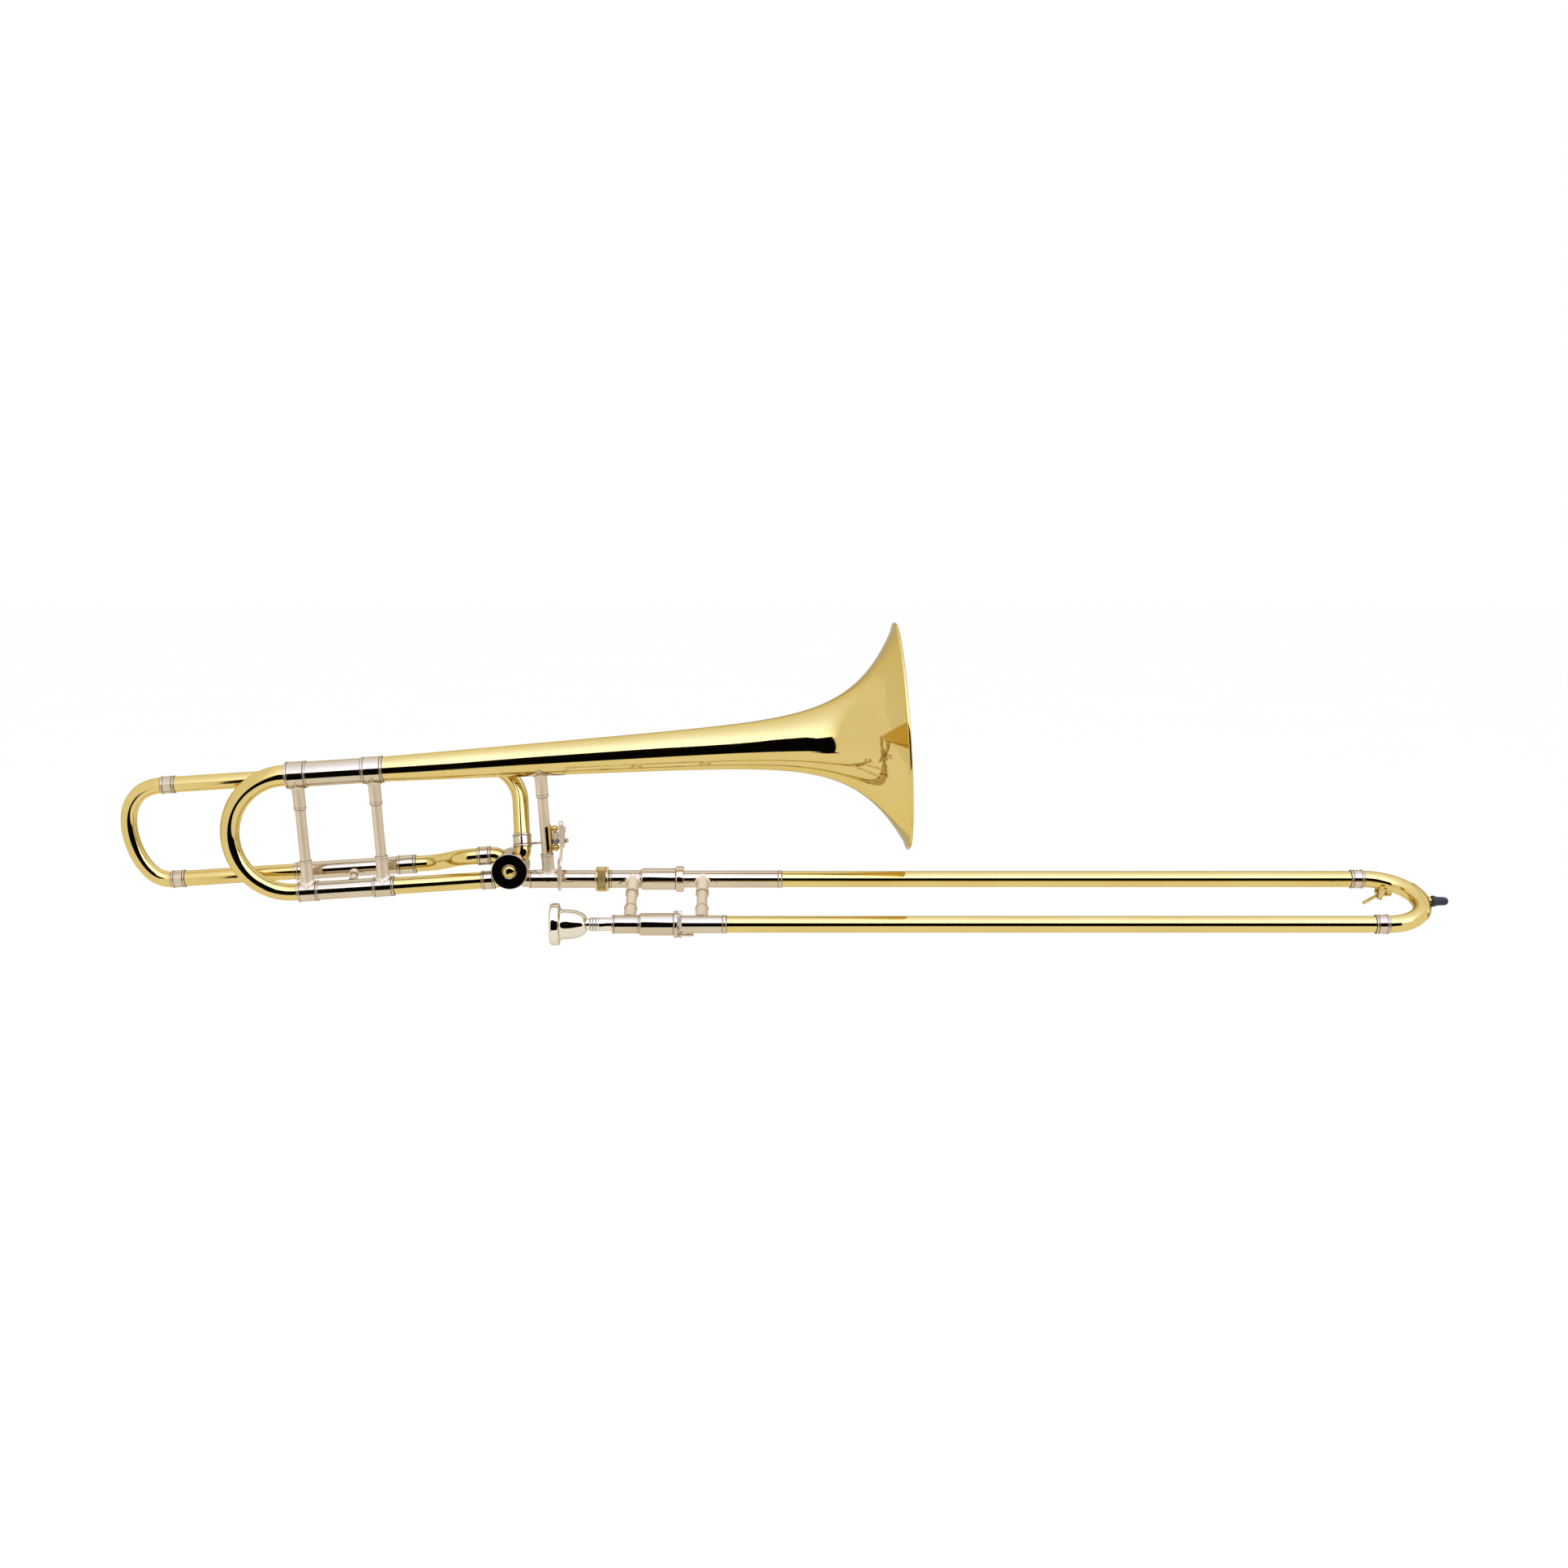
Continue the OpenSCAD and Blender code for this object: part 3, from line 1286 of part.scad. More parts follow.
// Water key lever with its pad: the thumb end slopes away from the bow
module water_key() {
    half = key_coil_start + key_pitch * key_curls + 0.4;
    pad_h = 1.2;
    pad_face = nib_top + turn_fit;
    arm_z = pad_face + pad_h + key_bar_r;
    color(brass) slide_plane() translate([key_x, key_y, 0]) difference() {
        union() {
            translate([-key_pivot_back, -half, key_pivot_z]) rotate([-90, 0, 0])
                cylinder(r = key_barrel_r, h = 2 * half);
            translate([0, key_arm_half, 0]) rotate([90, 0, 0]) {
                bar([0, arm_z], [-key_pivot_back, key_pivot_z], key_bar_r, 2 * key_arm_half);
                bar([-key_pivot_back, key_pivot_z], [-key_tip_back, key_pivot_z + key_tip_drop], key_bar_r,
                    2 * key_arm_half);
            }
            translate([0, 0, pad_face + pad_h - 0.4]) cylinder(r = nib_r + 0.3, h = 1.6);
            translate([0, 0, pad_face]) cylinder(r = nib_r - 0.1, h = pad_h);
        }
        translate([-key_pivot_back, -half - 1, key_pivot_z]) rotate([-90, 0, 0])
            cylinder(r = key_pin_r + slide_fit, h = 2 * half + 2);
    }
}

module water_key_spring() {
    per_curl = 8;
    points = helix(key_coil_r, key_pitch, key_curls, per_curl);
    echo(water_key_spring_gap = least_gap(points, per_curl, key_wire_r));
    color(black) slide_plane() translate([key_x - key_pivot_back, key_y + key_coil_start, key_pivot_z])
        rotate([-90, 0, 0]) wire(points, key_wire_r);
}

bell_flare();
bell_stem();
fixed_ferrules();
upper_tuning_sleeve();
lower_tuning_sleeve();
fixed_tuning_brace();
lower_main_tube();
valve_ferrules();
valve_casing();
front_bearing_plate();
valve_cap();
cap_button();
stop_bumpers();
neckpipe();
bell_brace();
f_sleeves();
f_sleeve_ferrules();
f_s_bend();
f_upper_tube();
f_strut();
trigger_saddle();
trigger_pivot_pin();
trigger_spring();
main_crook();
crook_ferrules();
tuning_inner_legs();
moving_tuning_brace();
f_crook();
f_crook_ferrules();
f_slide_legs();
f_inner_legs();
rotor();
stop_arm();
trigger_lever();
trigger_link();
lock_nut();
slide_tenon();
mouthpiece_receiver();
upper_cork_barrel();
lower_cork_barrel();
upper_inner_tube();
lower_inner_tube();
hand_brace();
barrel_corks();
mouthpiece();
slide_lock_ring();
upper_outer_tube();
lower_outer_tube();
upper_oversleeve();
lower_oversleeve();
outer_brace();
slide_bow();
bow_ferrules();
bow_guard();
bumper_stem();
bumper_tip();
lock_stud();
water_key_saddle();
water_key();
water_key_spring();
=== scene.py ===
# %% [markdown]
# # A tenor trombone with an F attachment
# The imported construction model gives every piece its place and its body. This lesson dresses it:
# long tubes come out of the construction model with few sides, so each visible piece is turned,
# bent or swept again here as a smooth mesh that stands where the construction node is, and gets
# a metal, rubber or cork finish made of shader nodes. Sizes are in millimetres, as in a workshop
# drawing, and are turned into metres at the last moment.

import json
import math

import bmesh
import bpy
from mathutils import Matrix, Vector


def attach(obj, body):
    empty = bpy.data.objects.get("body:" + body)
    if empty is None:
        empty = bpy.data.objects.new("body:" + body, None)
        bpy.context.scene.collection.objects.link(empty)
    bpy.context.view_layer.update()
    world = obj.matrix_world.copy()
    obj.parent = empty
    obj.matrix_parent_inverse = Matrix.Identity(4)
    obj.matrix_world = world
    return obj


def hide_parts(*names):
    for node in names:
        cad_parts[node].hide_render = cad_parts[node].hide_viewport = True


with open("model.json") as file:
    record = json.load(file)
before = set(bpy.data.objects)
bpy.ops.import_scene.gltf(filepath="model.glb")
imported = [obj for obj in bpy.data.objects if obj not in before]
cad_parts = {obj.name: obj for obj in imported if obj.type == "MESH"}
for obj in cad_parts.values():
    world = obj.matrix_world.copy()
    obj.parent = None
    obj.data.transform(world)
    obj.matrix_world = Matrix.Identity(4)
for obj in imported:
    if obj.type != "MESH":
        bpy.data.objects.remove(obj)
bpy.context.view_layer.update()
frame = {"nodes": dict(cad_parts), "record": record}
record = frame["record"]
body_of_node = {n: b for b, ns in record["behaviour"]["bodies"].items() for n in ns}
slot_of_node = {s["node"]: s["material_slot"] for s in record["subparts"]}

# %% [markdown]
# ## Three frames
# The slide lies along X. The bell section is tilted up by 3.7 degrees, and the lower slide leg
# hangs 17.1 degrees below the horizontal, because the player turns the slide in the hand. Every
# piece is easiest to draw along its own axis, so each frame is one matrix.

# %% frames
MM = 0.001
BELL_BACK, BELL_TILT = 96.4, math.radians(3.7)
LEG_GAP, DROOP = 84.0, math.radians(17.1)


def shift(x=0.0, y=0.0, z=0.0):
    return Matrix.Translation((x, y, z))


def turn(angle, axis):
    return Matrix.Rotation(angle, 4, axis)


UPPER_LEG = Matrix.Identity(4)
SLIDE_PLANE = turn(math.pi + DROOP, "X")
LOWER_LEG = SLIDE_PLANE @ shift(0, LEG_GAP, 0) @ turn(math.pi, "X")
BELL_FRAME = shift(-BELL_BACK) @ turn(-BELL_TILT, "Y")
TUNING_GAP = 114.2
BELL_AXIS = BELL_FRAME @ shift(0, 0, TUNING_GAP)
VALVE_BACK, VALVE_UP = 87.0, 11.6
VALVE_U = (BELL_BACK - VALVE_BACK) * math.cos(BELL_TILT) + VALVE_UP * math.sin(BELL_TILT)
VALVE_W = -(BELL_BACK - VALVE_BACK) * math.sin(BELL_TILT) + VALVE_UP * math.cos(BELL_TILT)
VALVE_FRAME = BELL_FRAME @ shift(VALVE_U, 0, VALVE_W) @ turn(math.pi / 2, "X")
print("valve axis at", [round(c, 2) for c in VALVE_FRAME.translation])

# %% [markdown]
# ## Shader maths as Python
# A finish is a small network of nodes. Wiring it by hand hides the idea, so a socket is wrapped in
# a class whose operators add Math nodes: `0.1 + 0.05 * dust` reads like the formula it is.

# %% the socket class


class Sock:
    def __init__(self, finish, socket):
        self.finish, self.socket = finish, socket

    def math(self, operation, a, b):
        return self.finish.node("ShaderNodeMath", {"operation": operation}, {0: a, 1: b})

    def __add__(self, other):
        return self.math("ADD", self, other)

    def __radd__(self, other):
        return self.math("ADD", other, self)

    def __sub__(self, other):
        return self.math("SUBTRACT", self, other)

    def __rsub__(self, other):
        return self.math("SUBTRACT", other, self)

    def __mul__(self, other):
        return self.math("MULTIPLY", self, other)

    def __rmul__(self, other):
        return self.math("MULTIPLY", other, self)


print("socket class ready, operators + - *")

# %% [markdown]
# ## One finish, one tree of nodes
# A finish owns a material and its node tree. Any node comes from one method, with its settings
# first and its sockets after; the short methods below it are the few kinds that every finish here
# needs: noise, a soft step, a mix of two colours and a bump.

# %% the finish class


class Finish:
    def __init__(self, name):
        self.material = bpy.data.materials.new(name)
        self.material.use_nodes = True
        self.tree = self.material.node_tree
        self.shader = self.tree.nodes["Principled BSDF"]

    def node(self, kind, settings=None, sockets=None, out=0):
        n = self.tree.nodes.new(kind)
        for key, value in (settings or {}).items():
            if key == "stops":
                ramp = n.color_ramp
                while len(ramp.elements) < len(value):
                    ramp.elements.new(0.5)
                for element, (place, colour) in zip(ramp.elements, value):
                    element.position, element.color = place, (*colour, 1)
            else:
                setattr(n, key, value)
        for key, value in (sockets or {}).items():
            self.feed(n.inputs[key], value)
        return Sock(self, n.outputs[out])

    def feed(self, socket, value):
        if isinstance(value, Sock):
            self.tree.links.new(value.socket, socket)
        elif socket.type == "RGBA":
            socket.default_value = (*value, 1)
        else:
            socket.default_value = value

    def place(self):
        return self.node("ShaderNodeTexCoord", out="Object")

    def stretched(self, scale):
        return self.node("ShaderNodeVectorMath", {"operation": "MULTIPLY"},
                         {0: self.place(), 1: scale})

    def noise(self, scale, detail=2.0, stretch=(1, 1, 1)):
        return self.node("ShaderNodeTexNoise", {"noise_dimensions": "3D"},
                         {"Vector": self.stretched(stretch), "Scale": scale, "Detail": detail})

    def between(self, value, low, high):
        return self.node("ShaderNodeMapRange", {"interpolation_type": "SMOOTHSTEP"},
                         {"Value": value, "From Min": low, "From Max": high})

    def blend(self, factor, a, b):
        # a Mix node keeps its colours in sockets 6 and 7, and gives the result in output 2
        return self.node("ShaderNodeMix", {"data_type": "RGBA"}, {0: factor, 6: a, 7: b}, out=2)

    def bump(self, height, strength, distance):
        return self.node("ShaderNodeBump", {},
                         {"Strength": strength, "Distance": distance, "Height": height})

    def set(self, **values):
        for key, value in values.items():
            self.feed(self.shader.inputs[key.replace("_", " ")], value)
        return self.material


print("finish class ready")

# %% [markdown]
# ## Lacquered brass
# Yellow brass is buffed to a mirror and sprayed with clear lacquer. The eye reads it by what it
# mirrors, so most of the finish is a clean metal; the craft is in the faults: a slow drift of the
# yellow, buffing lines round a spun bell or along a drawn tube, a soft orange-peel in the lacquer,
# and the odd speck of dust under it.

# %% brass


EDGE_BRASS = (0.86, 0.73, 0.44)


def lacquered_brass(name, pale, deep, buff):
    f = Finish(name)
    drift = f.noise(9, 3)
    lines = f.noise(1.0, 2, buff)
    peel = f.noise(160, 1)
    specks = f.between(f.noise(700, 1), 0.74, 0.80)
    tone = f.blend(f.between(drift, 0.3, 0.7), deep, pale)
    tone = f.blend(0.10 * lines, tone, tuple(0.80 * c for c in deep))
    tone = f.blend(0.20 * specks, tone, (0.30, 0.20, 0.08))
    rough = 0.022 + 0.02 * drift + 0.03 * lines + 0.10 * specks
    return f.set(Base_Color=tone, Metallic=1.0, Roughness=rough, Specular_Tint=EDGE_BRASS,
                 Normal=f.bump(0.5 * lines + peel, 0.005, 0.0004),
                 Coat_Weight=0.12, Coat_Roughness=0.03)


PALE, DEEP = (0.740, 0.565, 0.205), (0.690, 0.515, 0.172)
CAST_PALE, CAST_DEEP = (0.73, 0.55, 0.195), (0.64, 0.465, 0.150)
brass_spun = lacquered_brass("brass_spun_bell", PALE, DEEP, (1100, 14, 14))
brass_drawn = lacquered_brass("brass_drawn_tube", PALE, DEEP, (6, 700, 700))
brass_cast = lacquered_brass("brass_cast_fitting", CAST_PALE, CAST_DEEP, (260, 260, 260))
print("brass finishes ready")

# %% [markdown]
# ## Nickel silver, silver plate and the darker nut
# Ferrules, sleeves, braces and the slide's working tubes are nickel silver: a white metal with a
# warm cast under the same lacquer. The mouthpiece is silver plated, cleaner and colder. The lock nut
# is brass whose colour follows the shape of its knurl: a pointiness mask colours the deep grooves
# dark and leaves the ridges polished. The stays and sockets of braces and the thumb lever are
# only brushed, not buffed, so they get a satin kind. Every joint gets a thin dark line: partly the
# solder, old lacquer and tarnish that gather there, partly painted shade of the joint's groove.

# %% white metals and the nut


EDGE_WHITE = (0.72, 0.62, 0.50)


def white_metal(name, pale, deep, buff, rough_base, grain=0.005, metallic=1.0):
    f = Finish(name)
    drift = f.noise(16, 3)
    lines = f.noise(1.0, 2, buff)
    marks = f.between(f.noise(1.0, 1, (90, 1200, 900)), 0.68, 0.76)
    tone = f.blend(f.between(drift, 0.3, 0.7), deep, pale)
    tone = f.blend(0.12 * lines, tone, tuple(0.82 * c for c in deep))
    rough = rough_base + 0.03 * drift + 0.04 * lines + 0.06 * marks
    return f.set(Base_Color=tone, Metallic=metallic, Roughness=rough, Specular_Tint=EDGE_WHITE,
                 Normal=f.bump(lines, grain, 0.0003), Coat_Weight=0.1, Coat_Roughness=0.03)


WARM_PALE, WARM_DEEP = (0.670, 0.550, 0.380), (0.605, 0.495, 0.340)
SATIN_PALE, SATIN_DEEP = (0.760, 0.630, 0.440), (0.710, 0.585, 0.405)
SILVER_PALE, SILVER_DEEP = (0.84, 0.76, 0.62), (0.76, 0.68, 0.54)
nickel = white_metal("nickel_silver", WARM_PALE, WARM_DEEP, (900, 40, 40), 0.04)
nickel_drawn = white_metal("nickel_silver_drawn", WARM_PALE, WARM_DEEP, (8, 900, 900), 0.045)
nickel_satin = white_metal("nickel_silver_satin", SATIN_PALE, SATIN_DEEP, (60, 60, 900), 0.42,
                           grain=0.05, metallic=0.65)
silver = white_metal("silver_plate", SILVER_PALE, SILVER_DEEP, (1100, 30, 30), 0.03)


# dark joint finish: the colour of tarnish, and painted shade of the groove at each joint
def joint_tarnish_and_painted_shade():
    f = Finish("joint_tarnish_and_painted_shade")
    film = f.noise(500, 3)
    tone = f.blend(film, (0.060, 0.042, 0.024), (0.130, 0.095, 0.060))
    return f.set(Base_Color=tone, Metallic=1.0, Roughness=0.40 + 0.25 * film,
                 Normal=f.bump(film, 0.05, 0.0002))


seam_tarnish_and_painted_shade = joint_tarnish_and_painted_shade()


def knurled_brass():
    f = Finish("knurled_brass")
    # the knurl's deep grooves are coloured dark by a pointiness mask, and the ridges stay polished
    depth = f.between(f.node("ShaderNodeNewGeometry", out="Pointiness"), 0.44, 0.53)
    drift = f.noise(60, 3)
    polished = f.blend(drift, (0.66, 0.46, 0.16), (0.78, 0.58, 0.24))
    tone = f.blend(depth, (0.16, 0.10, 0.035), polished)
    return f.set(Base_Color=tone, Metallic=1.0, Roughness=0.34 - 0.2 * depth + 0.08 * drift,
                 Normal=f.bump(f.noise(700, 2), 0.05, 0.0003))


nut_brass = knurled_brass()
print("white metals and nut finish ready")

# %% [markdown]
# ## Soft and small materials
# The bumper is moulded rubber: black, dull, with a faint skin texture and a greyer bloom. The barrel
# rings are natural cork, a warm brown with dark pores. Springs are drawn steel wire, darker than the
# tubes around them.

# %% rubber, cork, wire


def moulded_rubber():
    f = Finish("moulded_rubber")
    bloom = f.noise(120, 4)
    skin = f.noise(1800, 2)
    tone = f.blend(f.between(bloom, 0.45, 0.75), (0.012, 0.012, 0.013), (0.035, 0.034, 0.034))
    return f.set(Base_Color=tone, Roughness=0.42 + 0.25 * bloom, Normal=f.bump(skin, 0.12, 0.0003))


def natural_cork():
    f = Finish("natural_cork")
    grain = f.noise(350, 4)
    pores = f.between(f.noise(1100, 2), 0.6, 0.68)
    tone = f.blend(grain, (0.36, 0.21, 0.10), (0.62, 0.43, 0.25))
    tone = f.blend(0.7 * pores, tone, (0.10, 0.05, 0.025))
    return f.set(Base_Color=tone, Roughness=0.82 + 0.1 * grain,
                 Normal=f.bump(grain - pores, 0.4, 0.0004))


def spring_wire():
    f = Finish("spring_wire")
    draw = f.noise(900, 3)
    tone = f.blend(draw, (0.10, 0.10, 0.105), (0.42, 0.41, 0.40))
    return f.set(Base_Color=tone, Metallic=1.0, Roughness=0.22 + 0.2 * draw,
                 Normal=f.bump(draw, 0.08, 0.0002))


rubber, cork, wire_steel = moulded_rubber(), natural_cork(), spring_wire()
print("rubber, cork and wire finishes ready")

# %% [markdown]
# ## Rounded outlines
# Nearly everything on a brass instrument is turned or drawn, so most pieces start as a closed
# outline of (radius, length) points. Real edges are never sharp, and it is the rounded corner that
# catches the light, so each corner becomes a short curve. An extra point close to each end of a long
# run keeps the run itself straight in the light. A bevel modifier could round the mesh instead, but
# a rounded outline stays even all the way round.

# %% rounded outlines


def fillet(outline, radius, steps=4):
    out, n = [], len(outline)
    for i in range(n):
        a, b, c = (Vector(outline[(i + k) % n]) for k in (-1, 0, 1))
        before, after = a - b, c - b
        if before.length < 1e-6 or after.length < 1e-6:
            continue
        angle = before.angle(after)
        cut = min(radius / math.tan(angle / 2), 0.45 * before.length, 0.45 * after.length)
        if angle > 2.9 or cut < 1e-4:
            out.append(b)
            continue
        p, q = b + before.normalized() * cut, b + after.normalized() * cut
        out += [p * (1 - t) ** 2 + b * 2 * t * (1 - t) + q * t * t
                for t in (k / steps for k in range(steps + 1))]
    return [tuple(p) for p in out]


def supported(points, gap=0.25, long=2.0):
    out = []
    for a, b in zip(points, points[1:] + points[:1]):
        a, b = Vector(a), Vector(b)
        out.append(tuple(a))
        if (b - a).length > long:
            step = (b - a).normalized() * gap
            out += [tuple(a + step), tuple(b - step)]
    return out


print("a filleted square has", len(fillet([(0, 0), (9, 0), (9, 9), (0, 9)], 1)), "points")

# %% [markdown]
# ## Turning
# A lathe turns an outline about an axis. Here every point of the outline becomes a ring of points,
# and bands of four-sided faces join one ring to the next; later pieces use the same bands. A screw
# modifier could turn the outline too, but plain lists of points can be joined and marked. A seam is
# one use of that: a thin dark ring, a hair proud of the tube, that holds solder and tarnish and also
# paints the shade of the joint's groove.

# %% turning


def round_about(sides):
    return [2 * math.pi * k / sides for k in range(sides)]


def bands(rows, cols, base=0, shut_rows=False, shut_cols=True):
    faces = []
    for j in range(rows if shut_rows else rows - 1):
        a, b = base + j * cols, base + (j + 1) % rows * cols
        for k in range(cols if shut_cols else cols - 1):
            k2 = (k + 1) % cols
            faces.append((a + k, a + k2, b + k2, b + k))
    return faces


def ring_of(row, sides):
    return tuple(row * sides + k for k in range(sides))


def turned(outline, place, segments=96, radius=0.25):
    points = supported(fillet(outline, radius)) if radius else outline
    verts = [place @ Vector((x, r * math.cos(a), r * math.sin(a)))
             for r, x in points for a in round_about(segments)]
    return verts, bands(len(points), segments, shut_rows=True)


def box_outline(x0, y0, x1, y1):
    return [(x0, y0), (x1, y0), (x1, y1), (x0, y1)]


SEAM_DEPTH, SEAM_PROUD = 0.3, 0.02


# a seam ring: tarnish colour and painted groove shade, in the dark joint finish
def seam(r, x, place, width=0.55):
    line = box_outline(r - SEAM_DEPTH, x - width / 2, r + SEAM_PROUD, x + width / 2)
    verts, faces = turned(line, place, 96, 0)
    return verts, faces, range(len(faces))


def tube(r_out, r_in, x0, x1, place, segments=96):
    return turned(box_outline(r_in, x0, r_out, x1), place, segments, 0.12)


print("a plain tube has", len(tube(5, 4, 0, 100, UPPER_LEG)[1]), "faces")

# %% [markdown]
# ## From parts to a piece
# A piece is one mesh made of several parts. Faces that a part marks as dark get the joint's finish
# of tarnish and painted shade, normals are turned outwards, and shading is smooth except across real
# edges. The piece rides on the body of the node it stands for, so it moves when that body moves.

# %% pieces


def joined(*parts):
    verts, faces, dark = [], [], []
    for v, f, *marks in parts:
        dark += [len(faces) + i for i in (marks[0] if marks else ())]
        faces += [tuple(i + len(verts) for i in face) for face in f]
        verts += v
    return verts, faces, dark


def show(node, parts, finish, sharp=40.0, name=None, stands_for=None):
    verts, faces, dark = joined(*parts)
    mesh = bpy.data.meshes.new(name or node + "_shown")
    mesh.from_pydata([p * MM for p in verts], [], faces)
    for i in dark:
        mesh.polygons[i].material_index = 1
    bm = bmesh.new()
    bm.from_mesh(mesh)
    bmesh.ops.remove_doubles(bm, verts=bm.verts, dist=1e-7)
    bmesh.ops.recalc_face_normals(bm, faces=bm.faces)
    for face in bm.faces:
        face.smooth = True
    bm.to_mesh(mesh)
    bm.free()
    mesh.set_sharp_from_angle(angle=math.radians(sharp))
    mesh.materials.append(finish)
    if dark:
        mesh.materials.append(seam_tarnish_and_painted_shade)
    piece = bpy.data.objects.new(name or node + "_shown", mesh)
    bpy.context.scene.collection.objects.link(piece)
    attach(piece, body_of_node[node])
    if stands_for is None:
        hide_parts(node)
    elif stands_for:
        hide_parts(*stands_for)
    return piece


print("pieces can stand for", len(slot_of_node), "nodes")

# %% [markdown]
# ## The bell
# A bell is spun from sheet over a mandrel. Its flare follows an exponential that dies away into a
# slow cone, and the rim is rolled round a wire into a bead. One outline holds it all: out along the
# outer skin, round the bead, and back along the inside, a sheet's thickness away.

# %% bell
RIM_R, BELL_FRONT, STEM_R, TAPER, DECAY, SHEET = 108.0, 390.0, 11.7, 0.0245, 39.0, 0.8
BEAD_R, BEAD_BACK, STATIONS = 1.6, 1.3, 110
TUNING_JOINT = 114.0
BELL_LEN = BELL_FRONT + TUNING_JOINT - 0.05
FLARE = RIM_R - STEM_R - TAPER * BELL_LEN


def sin_deg(angle):
    return math.sin(math.radians(angle))


def cos_deg(angle):
    return math.cos(math.radians(angle))


def bell_r(s):
    return STEM_R + TAPER * (BELL_LEN - s) + FLARE * math.exp(-s / DECAY)


def bell_skin(s, depth):
    slope = TAPER + FLARE / DECAY * math.exp(-s / DECAY)
    n = math.hypot(1, slope)
    return bell_r(s) - depth / n, BELL_FRONT - s + depth * slope / n


steps_back = [BEAD_BACK + (BELL_LEN - BEAD_BACK) * (i / STATIONS) ** 2 for i in range(STATIONS + 1)]
bead = [(RIM_R - BEAD_R + BEAD_R * sin_deg(a), BELL_FRONT + BEAD_R * cos_deg(a))
        for a in range(214, -113, -14)]
bell_outline = ([bell_skin(s, 0) for s in reversed(steps_back)] + bead
                + [bell_skin(s, SHEET) for s in steps_back])
bell_piece = show("bell_flare", [turned(bell_outline, BELL_AXIS, 192, 0)], brass_spun,
                  name="bell_shown", stands_for=("bell_flare", "bell_stem"))
print("bell", len(bell_piece.data.vertices), "vertices")

# %% [markdown]
# ## Ferrules, sleeves and tubes
# Tubes are joined by ferrules: short turned rings with a bead at each end, soldered over the joint.
# Sleeves are plain drawn tube. The tuning slide's inner legs slide in the sleeves, so they are made
# too and come into view when the slide is pulled.

# %% tuning joint
TUNING_OPEN = TUNING_JOINT + 63.0
CROOK_SEAT = TUNING_OPEN + 10.0
UP_SLEEVE, LOW_SLEEVE, UP_FERRULE, LOW_FERRULE = 12.0, 8.9, 12.75, 9.65
UP_LEG, LOW_LEG, WALL, GAP = 11.3, 8.2, 0.5, 0.05
MAIN_R, STEM_END, CROOK_TOP, CROOK_LOW = 8.1, 12.0, 10.15, 8.1
FIXED_HALF, MOVING_LEN, LEG_SHORT = 10, 20, 12


def ferrule(r, x0, x1, bore_low, bore_high, seat, place):
    rise, width, ease, dip, wide = 0.35, 1.4, 0.4, 0.12, 0.45
    near, far, proud = x0 + width + 0.8, x1 - width - 0.8, r + rise
    body = turned([(bore_low, x0), (r, x0), (proud, x0 + ease), (proud, x0 + width), (r, near - wide),
                   (r - dip, near), (r, near + wide), (r, far - wide), (r - dip, far), (r, far + wide),
                   (proud, x1 - width), (proud, x1 - ease), (r, x1), (bore_high, x1), (bore_high, seat),
                   (bore_low, seat)], place, 96, 0.22)
    return joined(body, seam(r, near, place), seam(r, far, place),
                  seam(bore_low + 0.3, x0 - 0.2, place), seam(bore_high + 0.3, x1 + 0.2, place))


def drawn(r, x0, x1, place):
    return tube(r, r - WALL, x0, x1, place)


fixed_ends = -TUNING_JOINT - FIXED_HALF, -TUNING_JOINT + FIXED_HALF
show("fixed_ferrules", [
    ferrule(UP_FERRULE, *fixed_ends, UP_SLEEVE + GAP, STEM_END, -TUNING_JOINT, BELL_AXIS),
    ferrule(LOW_FERRULE, *fixed_ends, LOW_SLEEVE + GAP, MAIN_R + GAP, -TUNING_JOINT, BELL_FRAME)],
     nickel)
sleeve_ends = -TUNING_OPEN, -TUNING_JOINT - GAP
show("upper_tuning_sleeve", [drawn(UP_SLEEVE, *sleeve_ends, BELL_AXIS)], nickel_drawn)
show("lower_tuning_sleeve", [drawn(LOW_SLEEVE, *sleeve_ends, BELL_FRAME)], nickel_drawn)
leg_ends = -CROOK_SEAT + 0.1, -TUNING_JOINT - LEG_SHORT
show("tuning_inner_legs", [drawn(UP_LEG, *leg_ends, BELL_AXIS), drawn(LOW_LEG, *leg_ends, BELL_FRAME)],
     nickel_drawn)
crook_ends = -TUNING_OPEN - MOVING_LEN, -TUNING_OPEN - GAP
show("crook_ferrules", [
    ferrule(UP_FERRULE, *crook_ends, CROOK_TOP + GAP, UP_LEG + GAP, -CROOK_SEAT, BELL_AXIS),
    ferrule(LOW_FERRULE, *crook_ends, CROOK_LOW + GAP, LOW_LEG + GAP, -CROOK_SEAT, BELL_FRAME)], nickel)
print("tuning joint and sleeves turned")

# %% [markdown]
# ## Bent tubes
# The second tool sweeps a ring along a path. A bender turns a tube through true arcs between straight
# runs, so a path is given by its corners and one bend radius. The ring is carried along without
# twisting, and its radius may change on the way. A curve object with a bevel could be used as well,
# but it gives no inner wall.

# %% sweeping


def route(corners, bend_r, step=4.0):
    pts = [Vector(c) for c in corners]
    line = [pts[0]]
    for a, b, c in zip(pts, pts[1:], pts[2:]):
        d1, d2 = (b - a).normalized(), (c - b).normalized()
        angle = d1.angle(d2)
        cut = bend_r * math.tan(angle / 2)
        inward = (d2 - d1 * d1.dot(d2)).normalized()
        centre = b - d1 * cut + inward * bend_r
        count = max(3, math.ceil(math.degrees(angle) / step))
        for i in range(count + 1):
            t = angle * i / count
            line.append(centre - inward * bend_r * math.cos(t) + d1 * bend_r * math.sin(t))
    return line + [pts[-1]]


